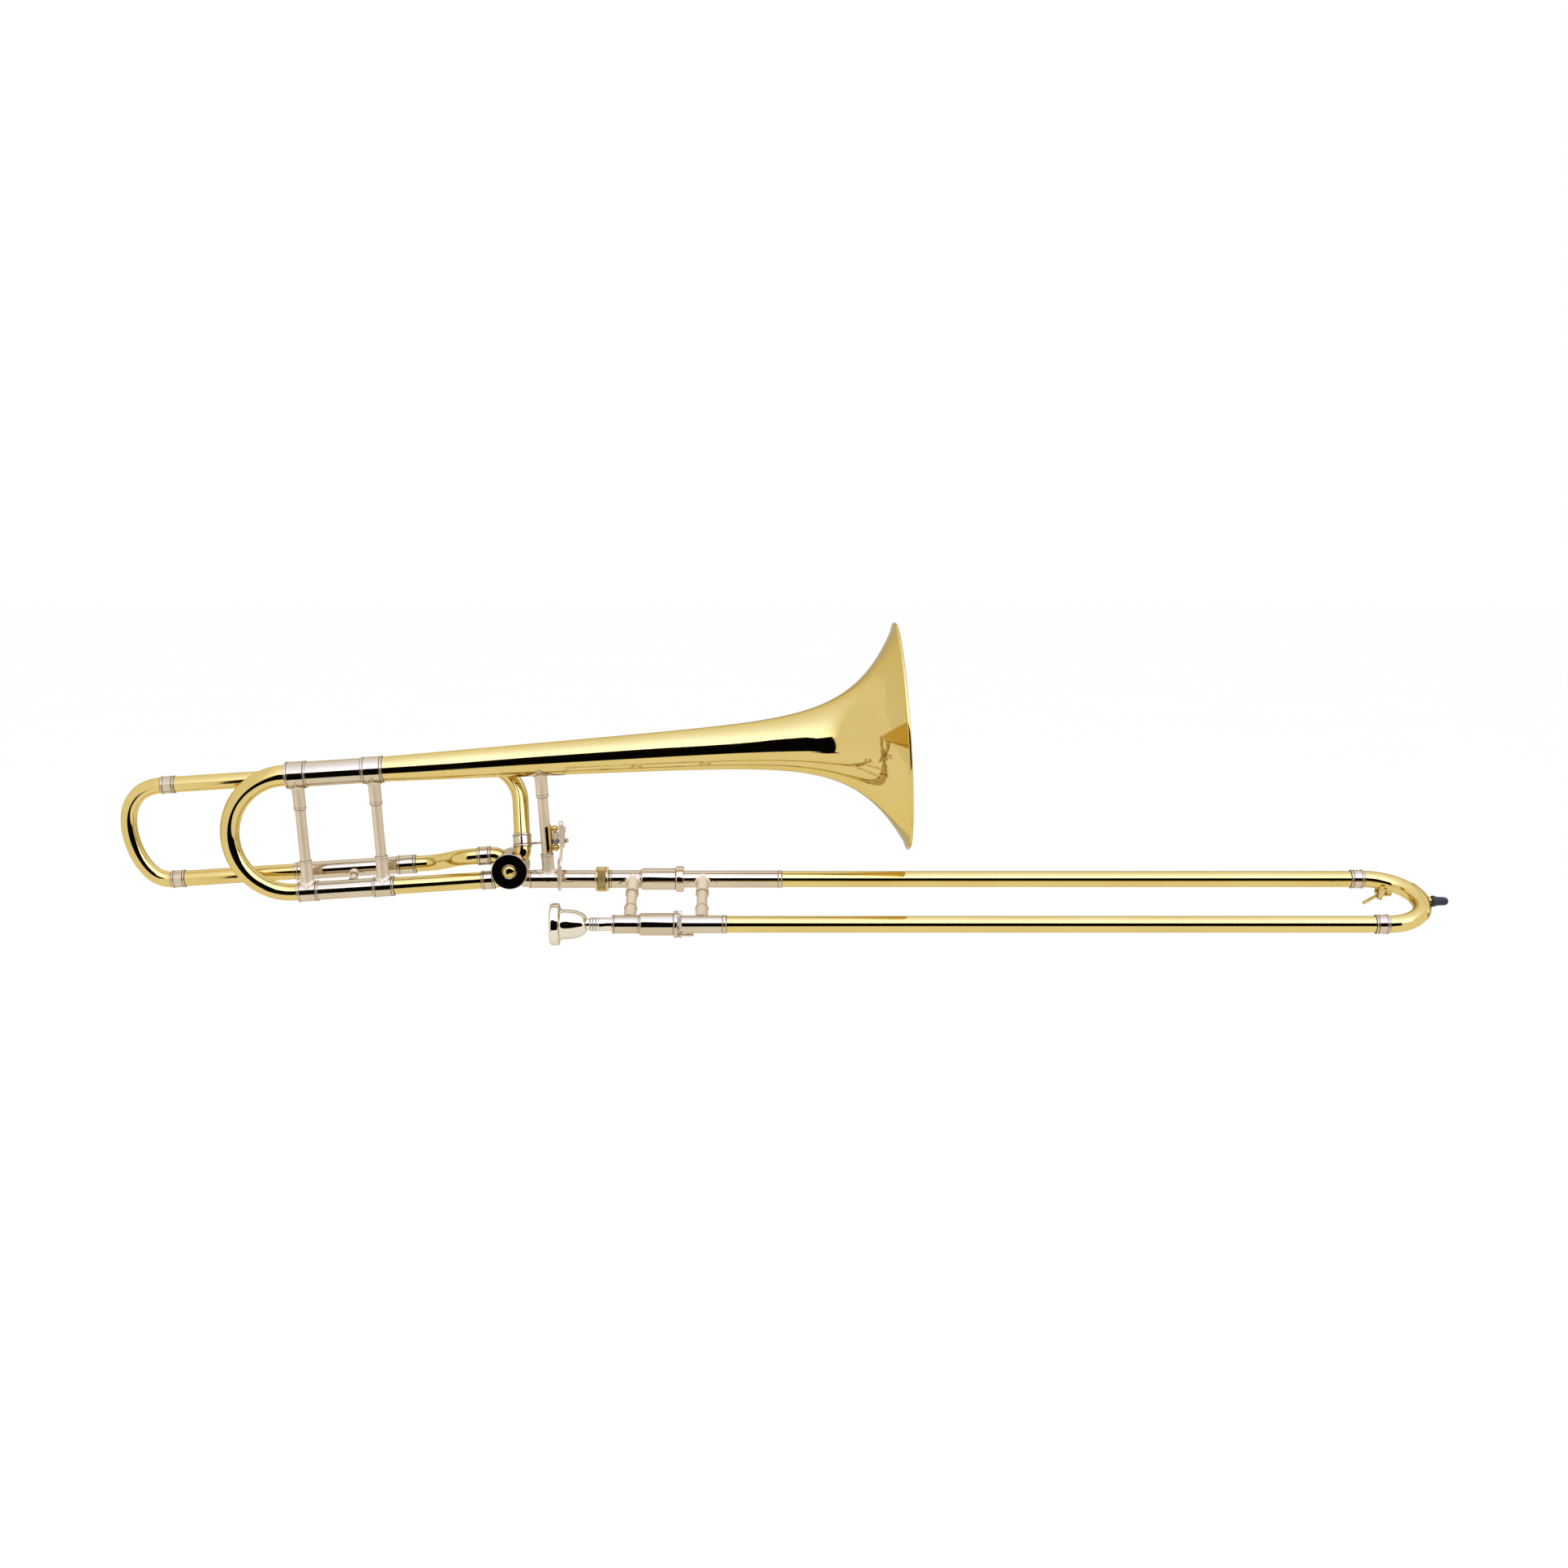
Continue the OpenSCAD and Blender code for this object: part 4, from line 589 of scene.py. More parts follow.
def swept(path, radius, place, wall=0.5, sides=48):
    radii = radius if isinstance(radius, list) else [radius] * len(path)
    last = len(path) - 1
    dirs = [(path[min(i + 1, last)] - path[max(i - 1, 0)]).normalized() for i in range(last + 1)]
    side = dirs[0].orthogonal().normalized()
    rings = []
    for i in range(last + 1):
        side = (side - dirs[i] * side.dot(dirs[i])).normalized()
        up = dirs[i].cross(side)
        rings.append([side * math.cos(a) + up * math.sin(a) for a in round_about(sides)])
    verts = [place @ (path[i] + v * radii[i]) for i in range(last + 1) for v in rings[i]]
    faces, inside = bands(last + 1, sides), (last + 1) * sides
    if not wall:
        return verts, faces + [ring_of(0, sides), ring_of(last, sides)]
    verts += [place @ (path[i] + v * (radii[i] - wall)) for i in range(last + 1) for v in rings[i]]
    faces += bands(last + 1, sides, inside)
    for i in (0, last):
        end = ring_of(i, sides)
        faces += [(a, b, inside + b, inside + a) for a, b in zip(end, end[1:] + end[:1])]
    return verts, faces


print("a right-angled bend has", len(route([(0, 0, 0), (50, 0, 0), (50, 50, 0)], 20)), "stations")

# %% [markdown]
# ## Main tuning crook
# The big bow at the back joins the bell's tail to the lower tube. It is bent from a tapered tube, so
# its radius shrinks evenly round the half circle: one radius for every station of the sweep.

# %% main crook
CROOK_R, CROOK_STEPS, BENT_WALL = TUNING_GAP / 2, 60, 0.6
CROOK_CENTRE = TUNING_OPEN + 23.0
crook_path = [Vector((-CROOK_SEAT, 0, TUNING_GAP))]
crook_radius = [CROOK_TOP]
for i in range(CROOK_STEPS + 1):
    a = 90 + 180 / CROOK_STEPS * i
    crook_path.append(Vector((-CROOK_CENTRE + CROOK_R * cos_deg(a), 0, CROOK_R + CROOK_R * sin_deg(a))))
    crook_radius.append(CROOK_TOP + (CROOK_LOW - CROOK_TOP) * i / CROOK_STEPS)
crook_path.append(Vector((-CROOK_SEAT, 0, 0)))
crook_radius.append(CROOK_LOW)
show("main_crook", [swept(crook_path, crook_radius, BELL_FRAME, BENT_WALL, 64)], brass_drawn)
print("main crook swept, radius", CROOK_TOP, "to", CROOK_LOW)

# %% [markdown]
# ## The F attachment
# Behind the bell lies a second loop of tube that the valve adds. Its crook is D-shaped: two tight
# corners and one wide arc, the upper corner squarer than the lower. The path is drawn with true arcs
# first, and a smooth factor then stretches its upper half backwards.

# %% F crook
F_DEPTH, F_TOP, F_LOW, F_R, F_SLEEVE = 28.0, 108.0, 14.5, 7.7, 8.45
F_START, F_OPEN, F_END = 325.0, 204.0, 95.0
F_MID, F_HALF, F_CORNER, F_REACH = (F_TOP + F_LOW) / 2, (F_TOP - F_LOW) / 2, 30.0, 37.0
F_SIDE = F_HALF - F_CORNER
F_WIDE = (F_REACH ** 2 + F_SIDE ** 2 - F_CORNER ** 2) / (2 * (F_REACH - F_CORNER))
F_TURN = math.atan2(F_SIDE, F_WIDE - F_REACH)
PORT_OUT, F_DROP = 13, 22.0
F_PORT = VALVE_W + PORT_OUT
F_CORNER_LOW = Vector((F_DROP, 0, VALVE_W + F_DROP - VALVE_U))
F_CORNER_TOP = Vector((F_DROP, F_DEPTH, F_TOP))
F_LEAN = (F_CORNER_TOP - F_CORNER_LOW).normalized()
F_TOP_SEAT = F_CORNER_LOW + F_LEAN * 13.5
F_LEFT_SEAT = VALVE_U - 25.0
MAIN_SEAT = VALVE_U - 23.17
F_SEAT, F_FERRULE, F_STEPS, F_BORE = 6.5, 13, 20, F_R + 0.2


def squared(t):
    return 0.968 + 0.15 * t + 0.13 * t * t


f_path = [(F_SEAT, F_HALF)]
f_path += [(-F_CORNER * sin_deg(a), F_SIDE + F_CORNER * cos_deg(a))
           for a in [90 * k / F_STEPS * (1 - math.degrees(F_TURN) / 90) for k in range(F_STEPS + 1)]]
f_path += [(F_WIDE - F_REACH - F_WIDE * math.cos(a), F_WIDE * math.sin(a))
           for a in [F_TURN * (1 - k / F_STEPS) for k in range(1, F_STEPS + 1)]]
f_path += [(x, -y) for x, y in reversed(f_path[:-1])]
f_path = [(x * squared(y / F_HALF) if x < 0 else x, y) for x, y in f_path]
f_line = [Vector((-F_START + x, F_DEPTH, F_MID + y)) for x, y in f_path]
show("f_crook", [swept(f_line, F_R, BELL_FRAME)], brass_drawn)
print("F crook reaches", round(-min(x for x, _ in f_path), 1), "mm behind its ferrules")

# %% [markdown]
# The crook's legs run forward into sleeves; the lower one joins the valve by an S bend, the upper one
# turns down to it. Both legs are alike, so one list of two frames places every tube, sleeve and ring.

# %% F legs, sleeves and bends
F_LEGS = [BELL_FRAME @ shift(0, F_DEPTH, w) for w in (F_LOW, F_TOP)]
show("f_crook_ferrules", [ferrule(F_R + 0.7, -F_START, -F_START + F_FERRULE, F_R + GAP, F_R + GAP,
                                  -F_START + F_SEAT, leg) for leg in F_LEGS], nickel)
show("f_slide_legs", [drawn(F_R, -F_START + F_SEAT + 0.1, -F_OPEN - 0.3, leg) for leg in F_LEGS],
     brass_drawn)
show("f_inner_legs", [drawn(F_R, -F_OPEN - 0.25, -F_END - 8, leg) for leg in F_LEGS], nickel_drawn)
sleeve = [(F_BORE, -F_OPEN), (F_SLEEVE + 0.5, -F_OPEN), (F_SLEEVE + 0.5, -F_OPEN + 2.5),
          (F_SLEEVE, -F_OPEN + 2.9), (F_SLEEVE, -F_END - GAP), (F_BORE, -F_END - GAP)]
show("f_sleeves", [joined(turned(sleeve, leg, 96, 0.2), seam(F_SLEEVE, -F_OPEN + 3.2, leg),
                          seam(F_R + 0.4, -F_OPEN - 0.2, leg)) for leg in F_LEGS], nickel_drawn)
show("f_sleeve_ferrules", [ferrule(F_SLEEVE + 0.6, -F_END - 9, -F_END + 9, F_SLEEVE + GAP, F_R + GAP,
                                   -F_END, leg) for leg in F_LEGS], nickel)
s_bend = route([(-F_END + GAP, F_DEPTH, F_LOW), (-F_END + 29, F_DEPTH, F_LOW), (-F_END + 59, 0, F_PORT),
                (F_LEFT_SEAT - GAP, 0, F_PORT)], 27)
show("f_s_bend", [swept(s_bend, F_R, BELL_FRAME)], brass_drawn)
upper_f = route([(-F_END + GAP, F_DEPTH, F_TOP), F_CORNER_TOP, F_TOP_SEAT + F_LEAN * GAP], 38)
show("f_upper_tube", [swept(upper_f, F_R, BELL_FRAME)], brass_drawn)
show("lower_main_tube", [tube(MAIN_R, MAIN_R - BENT_WALL, -TUNING_JOINT + GAP, MAIN_SEAT - GAP,
                              BELL_FRAME)], brass_drawn)
print("F loop bent, S bend", len(s_bend), "stations")

# %% [markdown]
# ## The rotary valve
# The casing is a short cylinder with four knuckles, each a stub of tube that leaves at 45 degrees and
# bends into line with the tube it serves. Here the body is turned and the knuckles are swept into it,
# three of them in brass like their tubes.

# %% valve casing
KNUCKLE_R, KNUCKLE_BEND, KNUCKLE_ROOT, NECK_SEAT = 7.9, 11.0, 12, -64
CASING_R, CASING_HALF, CAP_R, CAP_FACE = 16.5, 15.0, 17.2, 20.6
Y_AXIS = VALVE_FRAME @ turn(-math.pi / 2, "Y")
valve_centre = Vector((VALVE_U, 0, VALVE_W))


def knuckle(corner, tip):
    corner, tip = Vector(corner), Vector(tip)
    start = valve_centre + KNUCKLE_ROOT * (corner - valve_centre).normalized()
    return swept(route([start, corner, tip], KNUCKLE_BEND, 3), KNUCKLE_R, BELL_FRAME, 1.0)


BACK = -CASING_HALF
casing_outline = [(15.0, BACK), (CASING_R, BACK), (CASING_R, BACK + 2.2), (CASING_R - 0.25, BACK + 2.6),
                  (CASING_R, BACK + 3.0), (CASING_R, CASING_HALF), (14.9, CASING_HALF)]
rear_wall = [(3.3, BACK), (15.2, BACK), (15.2, BACK + 2.4), (3.3, BACK + 2.4)]
neck_corner = BELL_FRAME.inverted() @ Vector((-VALVE_BACK + VALVE_UP, 0, 0))
neck_tip = BELL_FRAME.inverted() @ Vector((NECK_SEAT - GAP, 0, 0))
show("valve_casing", [turned(casing_outline, Y_AXIS, 96, 0.3), turned(rear_wall, Y_AXIS, 96, 0.2),
                      knuckle(neck_corner, neck_tip)], nickel)
show("lower_main_tube", [knuckle((VALVE_U - VALVE_W, 0, 0), (MAIN_SEAT + GAP, 0, 0)),
                         knuckle((VALVE_U - PORT_OUT, 0, F_PORT), (F_LEFT_SEAT + GAP, 0, F_PORT)),
                         knuckle(F_CORNER_LOW, F_TOP_SEAT - F_LEAN * GAP)], brass_drawn,
     name="valve_knuckles", stands_for=False)
print("casing", 2 * CASING_R, "mm wide with four knuckles")

# %% [markdown]
# Ferrules join three knuckles to their tubes. A screw cap with a polished flat face closes the front;
# a shallow ring is cut in the face, and a small domed button sits in the middle.

# %% valve ferrules and cap
f_lean_frame = (BELL_FRAME @ Matrix.Translation(F_TOP_SEAT)
                @ F_LEAN.to_track_quat("X", "Z").to_matrix().to_4x4())
VALVE_FERRULE = 6.25


def valve_ferrule(r, bore_low, bore_high, seat, place):
    ends = seat - VALVE_FERRULE, seat + VALVE_FERRULE
    return ferrule(r, *ends, bore_low + GAP, bore_high + GAP, seat, place)


show("valve_ferrules", [
    valve_ferrule(9.0, MAIN_R, KNUCKLE_R, MAIN_SEAT, BELL_FRAME),
    valve_ferrule(8.8, F_R, KNUCKLE_R, F_LEFT_SEAT, BELL_FRAME @ shift(0, 0, F_PORT)),
    valve_ferrule(8.8, KNUCKLE_R, F_R, 0, f_lean_frame)], nickel)
CAP_SKIRT, CAP_EDGE, CAP_THICK = 12.0, 0.45, 2
cap_outline = [(0, CAP_FACE), (6.4, CAP_FACE), (6.7, CAP_FACE - 0.15), (7.0, CAP_FACE),
               (CAP_R - CAP_EDGE, CAP_FACE), (CAP_R, CAP_FACE - CAP_EDGE), (CAP_R, CAP_SKIRT),
               (CASING_R + GAP, CAP_SKIRT), (CASING_R + GAP, CAP_FACE - CAP_THICK),
               (0, CAP_FACE - CAP_THICK)]
show("valve_cap", [turned(cap_outline, Y_AXIS, 128, 0.3)], nickel)
BUTTON_R, DOME_R, DOME_X, DOME_H = 6.0, 5.7, CAP_FACE + 1.2, 2.3
button = [(0, CAP_FACE + GAP), (BUTTON_R, CAP_FACE + GAP), (BUTTON_R, CAP_FACE + 0.75),
          (DOME_R, DOME_X)]
button += [(DOME_R * cos_deg(a), DOME_X + DOME_H * sin_deg(a)) for a in range(10, 90, 10)]
show("cap_button", [turned(button + [(0, DOME_X + DOME_H)], Y_AXIS, 64, 0.15)], brass_cast)
print("cap", 2 * CAP_R, "mm wide, button", 2 * BUTTON_R, "mm")

# %% [markdown]
# ## Brace feet
# Each brace is a stay of tube soldered into two feet. A foot is a thin leaf of polished sheet draped
# over the tube it stands on, with a brushed socket rising out of it. The leaf is a grid wrapped round
# the tube: one direction runs along the tube and shrinks to a point at the sides, the other runs round
# it, and its filed edge holds a dark line of tarnish and painted shade. The socket's skirt is lowered
# onto the curve of the tube.

# %% brace feet
LEAF_EDGE, LEAF_CURVE, LEAF_ROWS, LEAF_COLS = 0.35, 1.12, 28, 24
STAY_R, STAY_SEAT, SOCKET_WALL = 5.0, 2.05, 0.9
UPRIGHT = turn(-math.pi / 2, "Y")
OVER = Matrix.Scale(-1, 4, (0, 0, 1))


def leaf_faces(rows, cols):
    n, size = cols + 1, (rows + 1) * (cols + 1)
    faces = bands(rows + 1, n, 0, shut_cols=False) + bands(rows + 1, n, size, shut_cols=False)
    for j in (0, cols):
        edge = [i * n + j for i in range(rows + 1)]
        faces += [(a, b, size + b, size + a) for a, b in zip(edge, edge[1:])]
    return faces


def leaf(tube_r, back, front, reach, place, grow=0.0, thick=0.45):
    rows, cols, verts = LEAF_ROWS, LEAF_COLS, []
    for layer in (1, 0):
        for i in range(rows + 1):
            a = reach * (2 * i / rows - 1)
            half = (1 - abs(a) / reach) ** LEAF_CURVE
            for j in range(cols + 1):
                bevel = min(0.3, LEAF_EDGE / max(half * min(front, back), 0.1))
                s = max(-1.0, min(1.0, (2 * (j - 1) / (cols - 2) - 1) * (1 - bevel)))
                s = {0: -1.0, cols: 1.0}.get(j, s)
                x = s * half * (front if s > 0 else back)
                lift = thick * (0.2 if j in (0, cols) else 1.0) * layer
                r = tube_r + GAP + grow * x + lift
                verts.append(place @ Vector((x, r * math.sin(a), r * math.cos(a))))
    faces = leaf_faces(rows, cols)
    # the rims and filed sides of the leaf get the dark joint finish: tarnish and painted edge shade
    rims = [i * cols + j for i in range(rows) for j in (0, cols - 1)]
    return verts, faces, rims + list(range(2 * rows * cols, len(faces)))


def socket(tube_r, stay, deep, place, skirt=2.2, sides=72):
    wide, top = stay + SOCKET_WALL, tube_r + deep
    skirt_rings = [(wide + skirt, 0.35, True), (wide + 0.55 * skirt, 0.75, True),
                   (wide + 0.2 * skirt, 1.5, True), (wide, 2.6, True)]
    rings = skirt_rings + [(wide, top - 2.4, False), (wide + 0.28, top - 2.1, False),
                           (wide + 0.28, top - 0.5, False), (wide - 0.1, top, False),
                           (stay + GAP, top, False), (stay + GAP, tube_r + 2, False)]
    verts = []
    for r, h, follows in rings:
        for a in round_about(sides):
            x, y = r * math.cos(a), r * math.sin(a)
            down = math.sqrt(max(0.0, (tube_r + GAP) ** 2 - min(abs(y), 0.97 * tube_r) ** 2))
            verts.append(place @ Vector((x, y, down + h if follows else max(h, down + 2.7))))
    faces = bands(len(rings), sides) + [ring_of(len(rings) - 1, sides), ring_of(0, sides)]
    # two bands at the socket's collar get the dark joint finish: tarnish and painted shade
    return verts, faces, ring_of(4, sides) + ring_of(6, sides)


def rod(a, b, r, place, edge=0.3, sides=48):
    a, b = Vector(a), Vector(b)
    d = (b - a).normalized()
    return swept([a, a + d * edge, b - d * edge, b], [r - edge, r, r, r - edge], place, 0, sides)


print("a leaf has", len(leaf_faces(LEAF_ROWS, LEAF_COLS)), "faces")

# %% [markdown]
# ## Braces
# A brace is two feet and a stay between them, and the second foot is the first one mirrored over.
# Stays and sockets are brushed and the leaves are polished, so a brace is two meshes. The strut
# between main tube and F tube is so short that its stay is mostly a ball.

# %% tuning braces and strut


def foot(tube_r, back, front, place, stay=STAY_R, deep=21.0, reach=74.0, grow=0.0, lean=0.0):
    return (leaf(tube_r, back, front, math.radians(reach), place @ turn(lean, "Y"), grow),
            socket(tube_r, stay, deep, place, min(2.2, 0.28 * tube_r)))


def opposite(place, span):
    return place @ shift(0, 0, span) @ OVER


def brace(node, feet, low, high, place, stay=STAY_R, more=()):
    parts = [rod((0, 0, low + STAY_SEAT), (0, 0, high - STAY_SEAT), stay, place), *more]
    show(node, [part for _, part in feet] + parts, nickel_satin)
    show(node, [part for part, _ in feet], nickel, name=node + "_leaves", stands_for=False)


TUNING_LEAF = 7.4
for node, x in (("fixed_tuning_brace", -TUNING_JOINT), ("moving_tuning_brace", -CROOK_SEAT)):
    at = BELL_FRAME @ shift(x)
    brace(node, [foot(LOW_FERRULE, TUNING_LEAF, TUNING_LEAF, at, reach=80),
                 foot(UP_FERRULE, TUNING_LEAF, TUNING_LEAF, opposite(at, TUNING_GAP), reach=66)],
          LOW_FERRULE, TUNING_GAP - UP_FERRULE, at)
STRUT_SPAN, STRUT_R, STRUT_LEAF = math.hypot(F_DEPTH, F_LOW), 2.5, 9
strut_frame = BELL_FRAME @ shift(-TUNING_JOINT - 31.5) @ turn(-math.atan2(F_DEPTH, F_LOW), "X")
strut_gap = STRUT_SPAN - LOW_SLEEVE - F_SLEEVE
ball_r = strut_gap / 2 - 3.05
ball = [(ball_r * sin_deg(a), ball_r * cos_deg(a)) for a in range(0, 181, 9)]
strut_ends = (LOW_SLEEVE, strut_frame), (F_SLEEVE, opposite(strut_frame, STRUT_SPAN))
brace("f_strut", [foot(r, STRUT_LEAF, STRUT_LEAF, place, STRUT_R, deep=3.0, reach=60)
                  for r, place in strut_ends],
      LOW_SLEEVE, STRUT_SPAN - F_SLEEVE, strut_frame, STRUT_R,
      [turned(ball, strut_frame @ shift(0, 0, LOW_SLEEVE + strut_gap / 2) @ UPRIGHT, 48, 0)])
print("tuning braces and strut; strut ball radius", round(ball_r, 2))

# %% [markdown]
# ## Neckpipe and bell brace
# The neckpipe runs from the valve to the slide and takes the slide's plug and the lock nut's thread.
# The bell brace stands on it and carries the bell; its lower foot hangs two long points down the
# flanks of the neckpipe, and its upper foot follows the cone of the bell stem.

# %% neckpipe and bell brace
NECK_START, NECK_R, NUT_HALF, COLLAR_R = -70.4, 8.5, 6.2, 9.3
PLUG_END, NECK_BORE, THREADS, PITCH = -36, 7.0, 6, 0.95
THREAD_ROOT, PLUG_BORE = COLLAR_R - 0.35, NECK_R - 1
neck_outline = [(KNUCKLE_R + GAP, NECK_START), (NECK_R + 0.35, NECK_START),
                (NECK_R + 0.35, NECK_START + 1.5), (NECK_R, NECK_START + 1.9), (NECK_R, -NUT_HALF)]
for k in range(THREADS):
    x = -NUT_HALF + 0.4 + k * PITCH
    neck_outline += [(THREAD_ROOT, x), (COLLAR_R, x + 0.25), (COLLAR_R, x + 0.5),
                     (THREAD_ROOT, x + 0.75)]
neck_outline += [(THREAD_ROOT, 0), (PLUG_BORE, 0), (PLUG_BORE, PLUG_END), (NECK_BORE, PLUG_END),
                 (NECK_BORE, NECK_SEAT), (KNUCKLE_R + GAP, NECK_SEAT)]
show("neckpipe", [turned(neck_outline, UPPER_LEG, 96, 0.15), seam(NECK_R, NECK_START + 2.2, UPPER_LEG)],
     nickel)
BRACE_AT, NECK_LEAF, BELL_LEAF = 45.3, 16, 24
NECK_W = -BRACE_AT * math.tan(BELL_TILT)
BELL_HERE = bell_r(BELL_FRONT - BRACE_AT)
brace_frame = BELL_FRAME @ shift(BRACE_AT)
neck_foot = foot(NECK_R, NECK_LEAF, NECK_LEAF, brace_frame @ shift(0, 0, NECK_W),
                 deep=17.0, reach=112, lean=BELL_TILT)
bell_foot = foot(BELL_HERE, BELL_LEAF, BELL_LEAF, opposite(brace_frame, TUNING_GAP), reach=60, grow=TAPER)
brace("bell_brace", [neck_foot, bell_foot], NECK_W + NECK_R, TUNING_GAP - BELL_HERE, brace_frame)
print("bell brace", round(TUNING_GAP - BELL_HERE - NECK_W - NECK_R, 1), "mm tall on the neckpipe")

# %% [markdown]
# ## Trigger saddle, pin and spring
# A half shell soldered to the bell brace holds two balls on short posts. The balls are arcs turned
# about the pin's axis and stop at its bore, so the hole is real.

# %% trigger saddle
PIVOT, BALL, PIN_R, SHELL_IN, SHELL_OUT, SHELL_PAST = 9.1, 3.3, 1.2, 5.05, 6.25, 3.5
LOW_BALL, TOP_BALL = VALVE_W + 16.6, VALVE_W + 35.0
HINGE_LOW, HINGE_TOP, HINGE_R = LOW_BALL + BALL + 0.3, TOP_BALL - BALL - 0.3, 2.6
pivot_frame = brace_frame @ shift(PIVOT)


def ball_shape(radius, bore, step=9):
    low = math.degrees(math.asin(bore / radius))
    count = int((180 - 2 * low) / step) + 1
    arc = [math.radians(low + (180 - 2 * low) * i / count) for i in range(count + 1)]
    return [(radius * math.sin(a), -radius * math.cos(a)) for a in arc]


def half_shell(r_in, r_out, z0, z1, half_angle, place):
    edge, cols = 0.35, 24
    rims = [(r_in, z0), (r_out - edge, z0), (r_out, z0 + edge), (r_out, z1 - edge), (r_out - edge, z1),
            (r_in, z1)]
    angles = [half_angle * (2 * k / cols - 1) for k in range(cols + 1)]
    verts = [place @ Vector((r * math.cos(a), r * math.sin(a), z)) for r, z in rims for a in angles]
    faces = bands(len(rims), cols + 1, shut_rows=True, shut_cols=False)
    sides = [tuple(j * (cols + 1) + k for j in range(len(rims))) for k in (0, cols)]
    return verts, faces + sides


saddle = [half_shell(SHELL_IN, SHELL_OUT, LOW_BALL - SHELL_PAST, TOP_BALL + SHELL_PAST,
                     math.radians(84), brace_frame)]
for w in (LOW_BALL, TOP_BALL):
    post = [(0, 5.6), (3.1, 5.6), (2.3, 6.3), (1.7, 7.0), (1.7, PIVOT - 2.4), (0, PIVOT - 2.4)]
    saddle.append(turned(post, brace_frame @ shift(0, 0, w), 40, 0.3))
    saddle.append(turned(ball_shape(BALL, PIN_R + GAP), pivot_frame @ shift(0, 0, w) @ UPRIGHT, 48, 0))
show("trigger_saddle", saddle, brass_cast)
print("hinge balls", round(TOP_BALL - LOW_BALL, 1), "mm apart")

# %% [markdown]
# A pin through the balls is the hinge of the thumb lever, and a coil spring wound round the hinge
# barrel brings the lever back. A coil is a helix of stations, swept with a thin wire.

# %% hinge pin and spring
PIN_LOW, PIN_TOP, DIMPLE_R, DIMPLE = LOW_BALL - BALL, TOP_BALL + BALL, 0.5, 0.4
pin = [(0, PIN_LOW), (PIN_R, PIN_LOW), (PIN_R, PIN_TOP), (DIMPLE_R, PIN_TOP),
       (DIMPLE_R, PIN_TOP - DIMPLE), (0, PIN_TOP - DIMPLE)]
show("trigger_pivot_pin", [turned(pin, pivot_frame @ UPRIGHT, 32, 0.15)], brass_cast)


def coil(radius, pitch, curls, wire_r, place, steps=40):
    path = []
    for i in range(int(curls * steps) + 1):
        a = 2 * math.pi * i / steps
        path.append(Vector((radius * math.cos(a), radius * math.sin(a), pitch * i / steps)))
    return swept(path, wire_r, place, 0, 12)


coil_frame = pivot_frame @ shift(0, 0, HINGE_LOW + 0.6) @ turn(math.pi, "Z")
show("trigger_spring", [coil(radius=3.35, pitch=1.1, curls=4, wire_r=0.3, place=coil_frame)],
     wire_steel)
print("trigger hinge between w", round(HINGE_LOW, 1), "and", round(HINGE_TOP, 1))

# %% [markdown]
# ## Thumb lever, link and stop arm
# The lever is cast in one: a hinge barrel, a thick head beside it, an arm to the back that carries a
# pin, and a strip that ends in a dished paddle for the thumb. Flat bars are slabs whose edges are
# rounded by a few insets, because a filed edge shows as a thin bright line.

# %% slabs


def round_bar(a, b, r, steps=14):
    a, b = Vector(a), Vector(b)
    heading = math.atan2(b.y - a.y, b.x - a.x)
    ends = [(b, heading - math.pi / 2), (a, heading + math.pi / 2)]
    return [(p.x + r * math.cos(s + math.pi * k / steps), p.y + r * math.sin(s + math.pi * k / steps))
            for p, s in ends for k in range(steps + 1)]


def slab(outline, z0, z1, place, edge=0.4):
    n = len(outline)
    pts = [Vector(p) for p in outline]
    inward = []
    for i in range(n):
        d = (pts[(i + 1) % n] - pts[i - 1]).normalized()
        inward.append(Vector((-d.y, d.x)))
    soft = 0.3 * edge
    levels = [(z0, edge), (z0 + soft, soft), (z0 + edge, 0),
              (z1 - edge, 0), (z1 - soft, soft), (z1, edge)]
    verts = [place @ Vector((*(p + m * inset), z)) for z, inset in levels for p, m in zip(pts, inward)]
    return verts, bands(len(levels), n) + [ring_of(0, n), ring_of(len(levels) - 1, n)]


def paddle(radius, length, thick, dish, place):
    rows, cols, verts = 20, 36, []
    for layer in (0, 1):
        for i in range(rows + 1):
            f = i / rows
            for a in round_about(cols):
                x = f * radius * math.cos(a)
                y = f * radius * math.sin(a) + (length / 2 if math.sin(a) > 0 else -length / 2) * f
                edge = min(1.0, (1 - f) * 6)
                hollow = dish * (1 - f * f) + 0.3 * (1 - edge)
                z = thick - 0.35 * (1 - edge) ** 2 if layer else hollow
                verts.append(place @ Vector((x, y, z)))
    size, rim = (rows + 1) * cols, ring_of(rows, cols)
    sides = [(a, b, size + b, size + a) for a, b in zip(rim, rim[1:] + rim[:1])]
    return verts, bands(rows + 1, cols) + bands(rows + 1, cols, size) + sides


print("slab tools ready: a bar's outline has", len(round_bar((0, 0), (1, 0), 1)), "points")

# %% [markdown]
# The bars of the lever lie in planes across the bell axis, so one frame with its z along the axis
# holds them all: x is the instrument's depth and y its height.

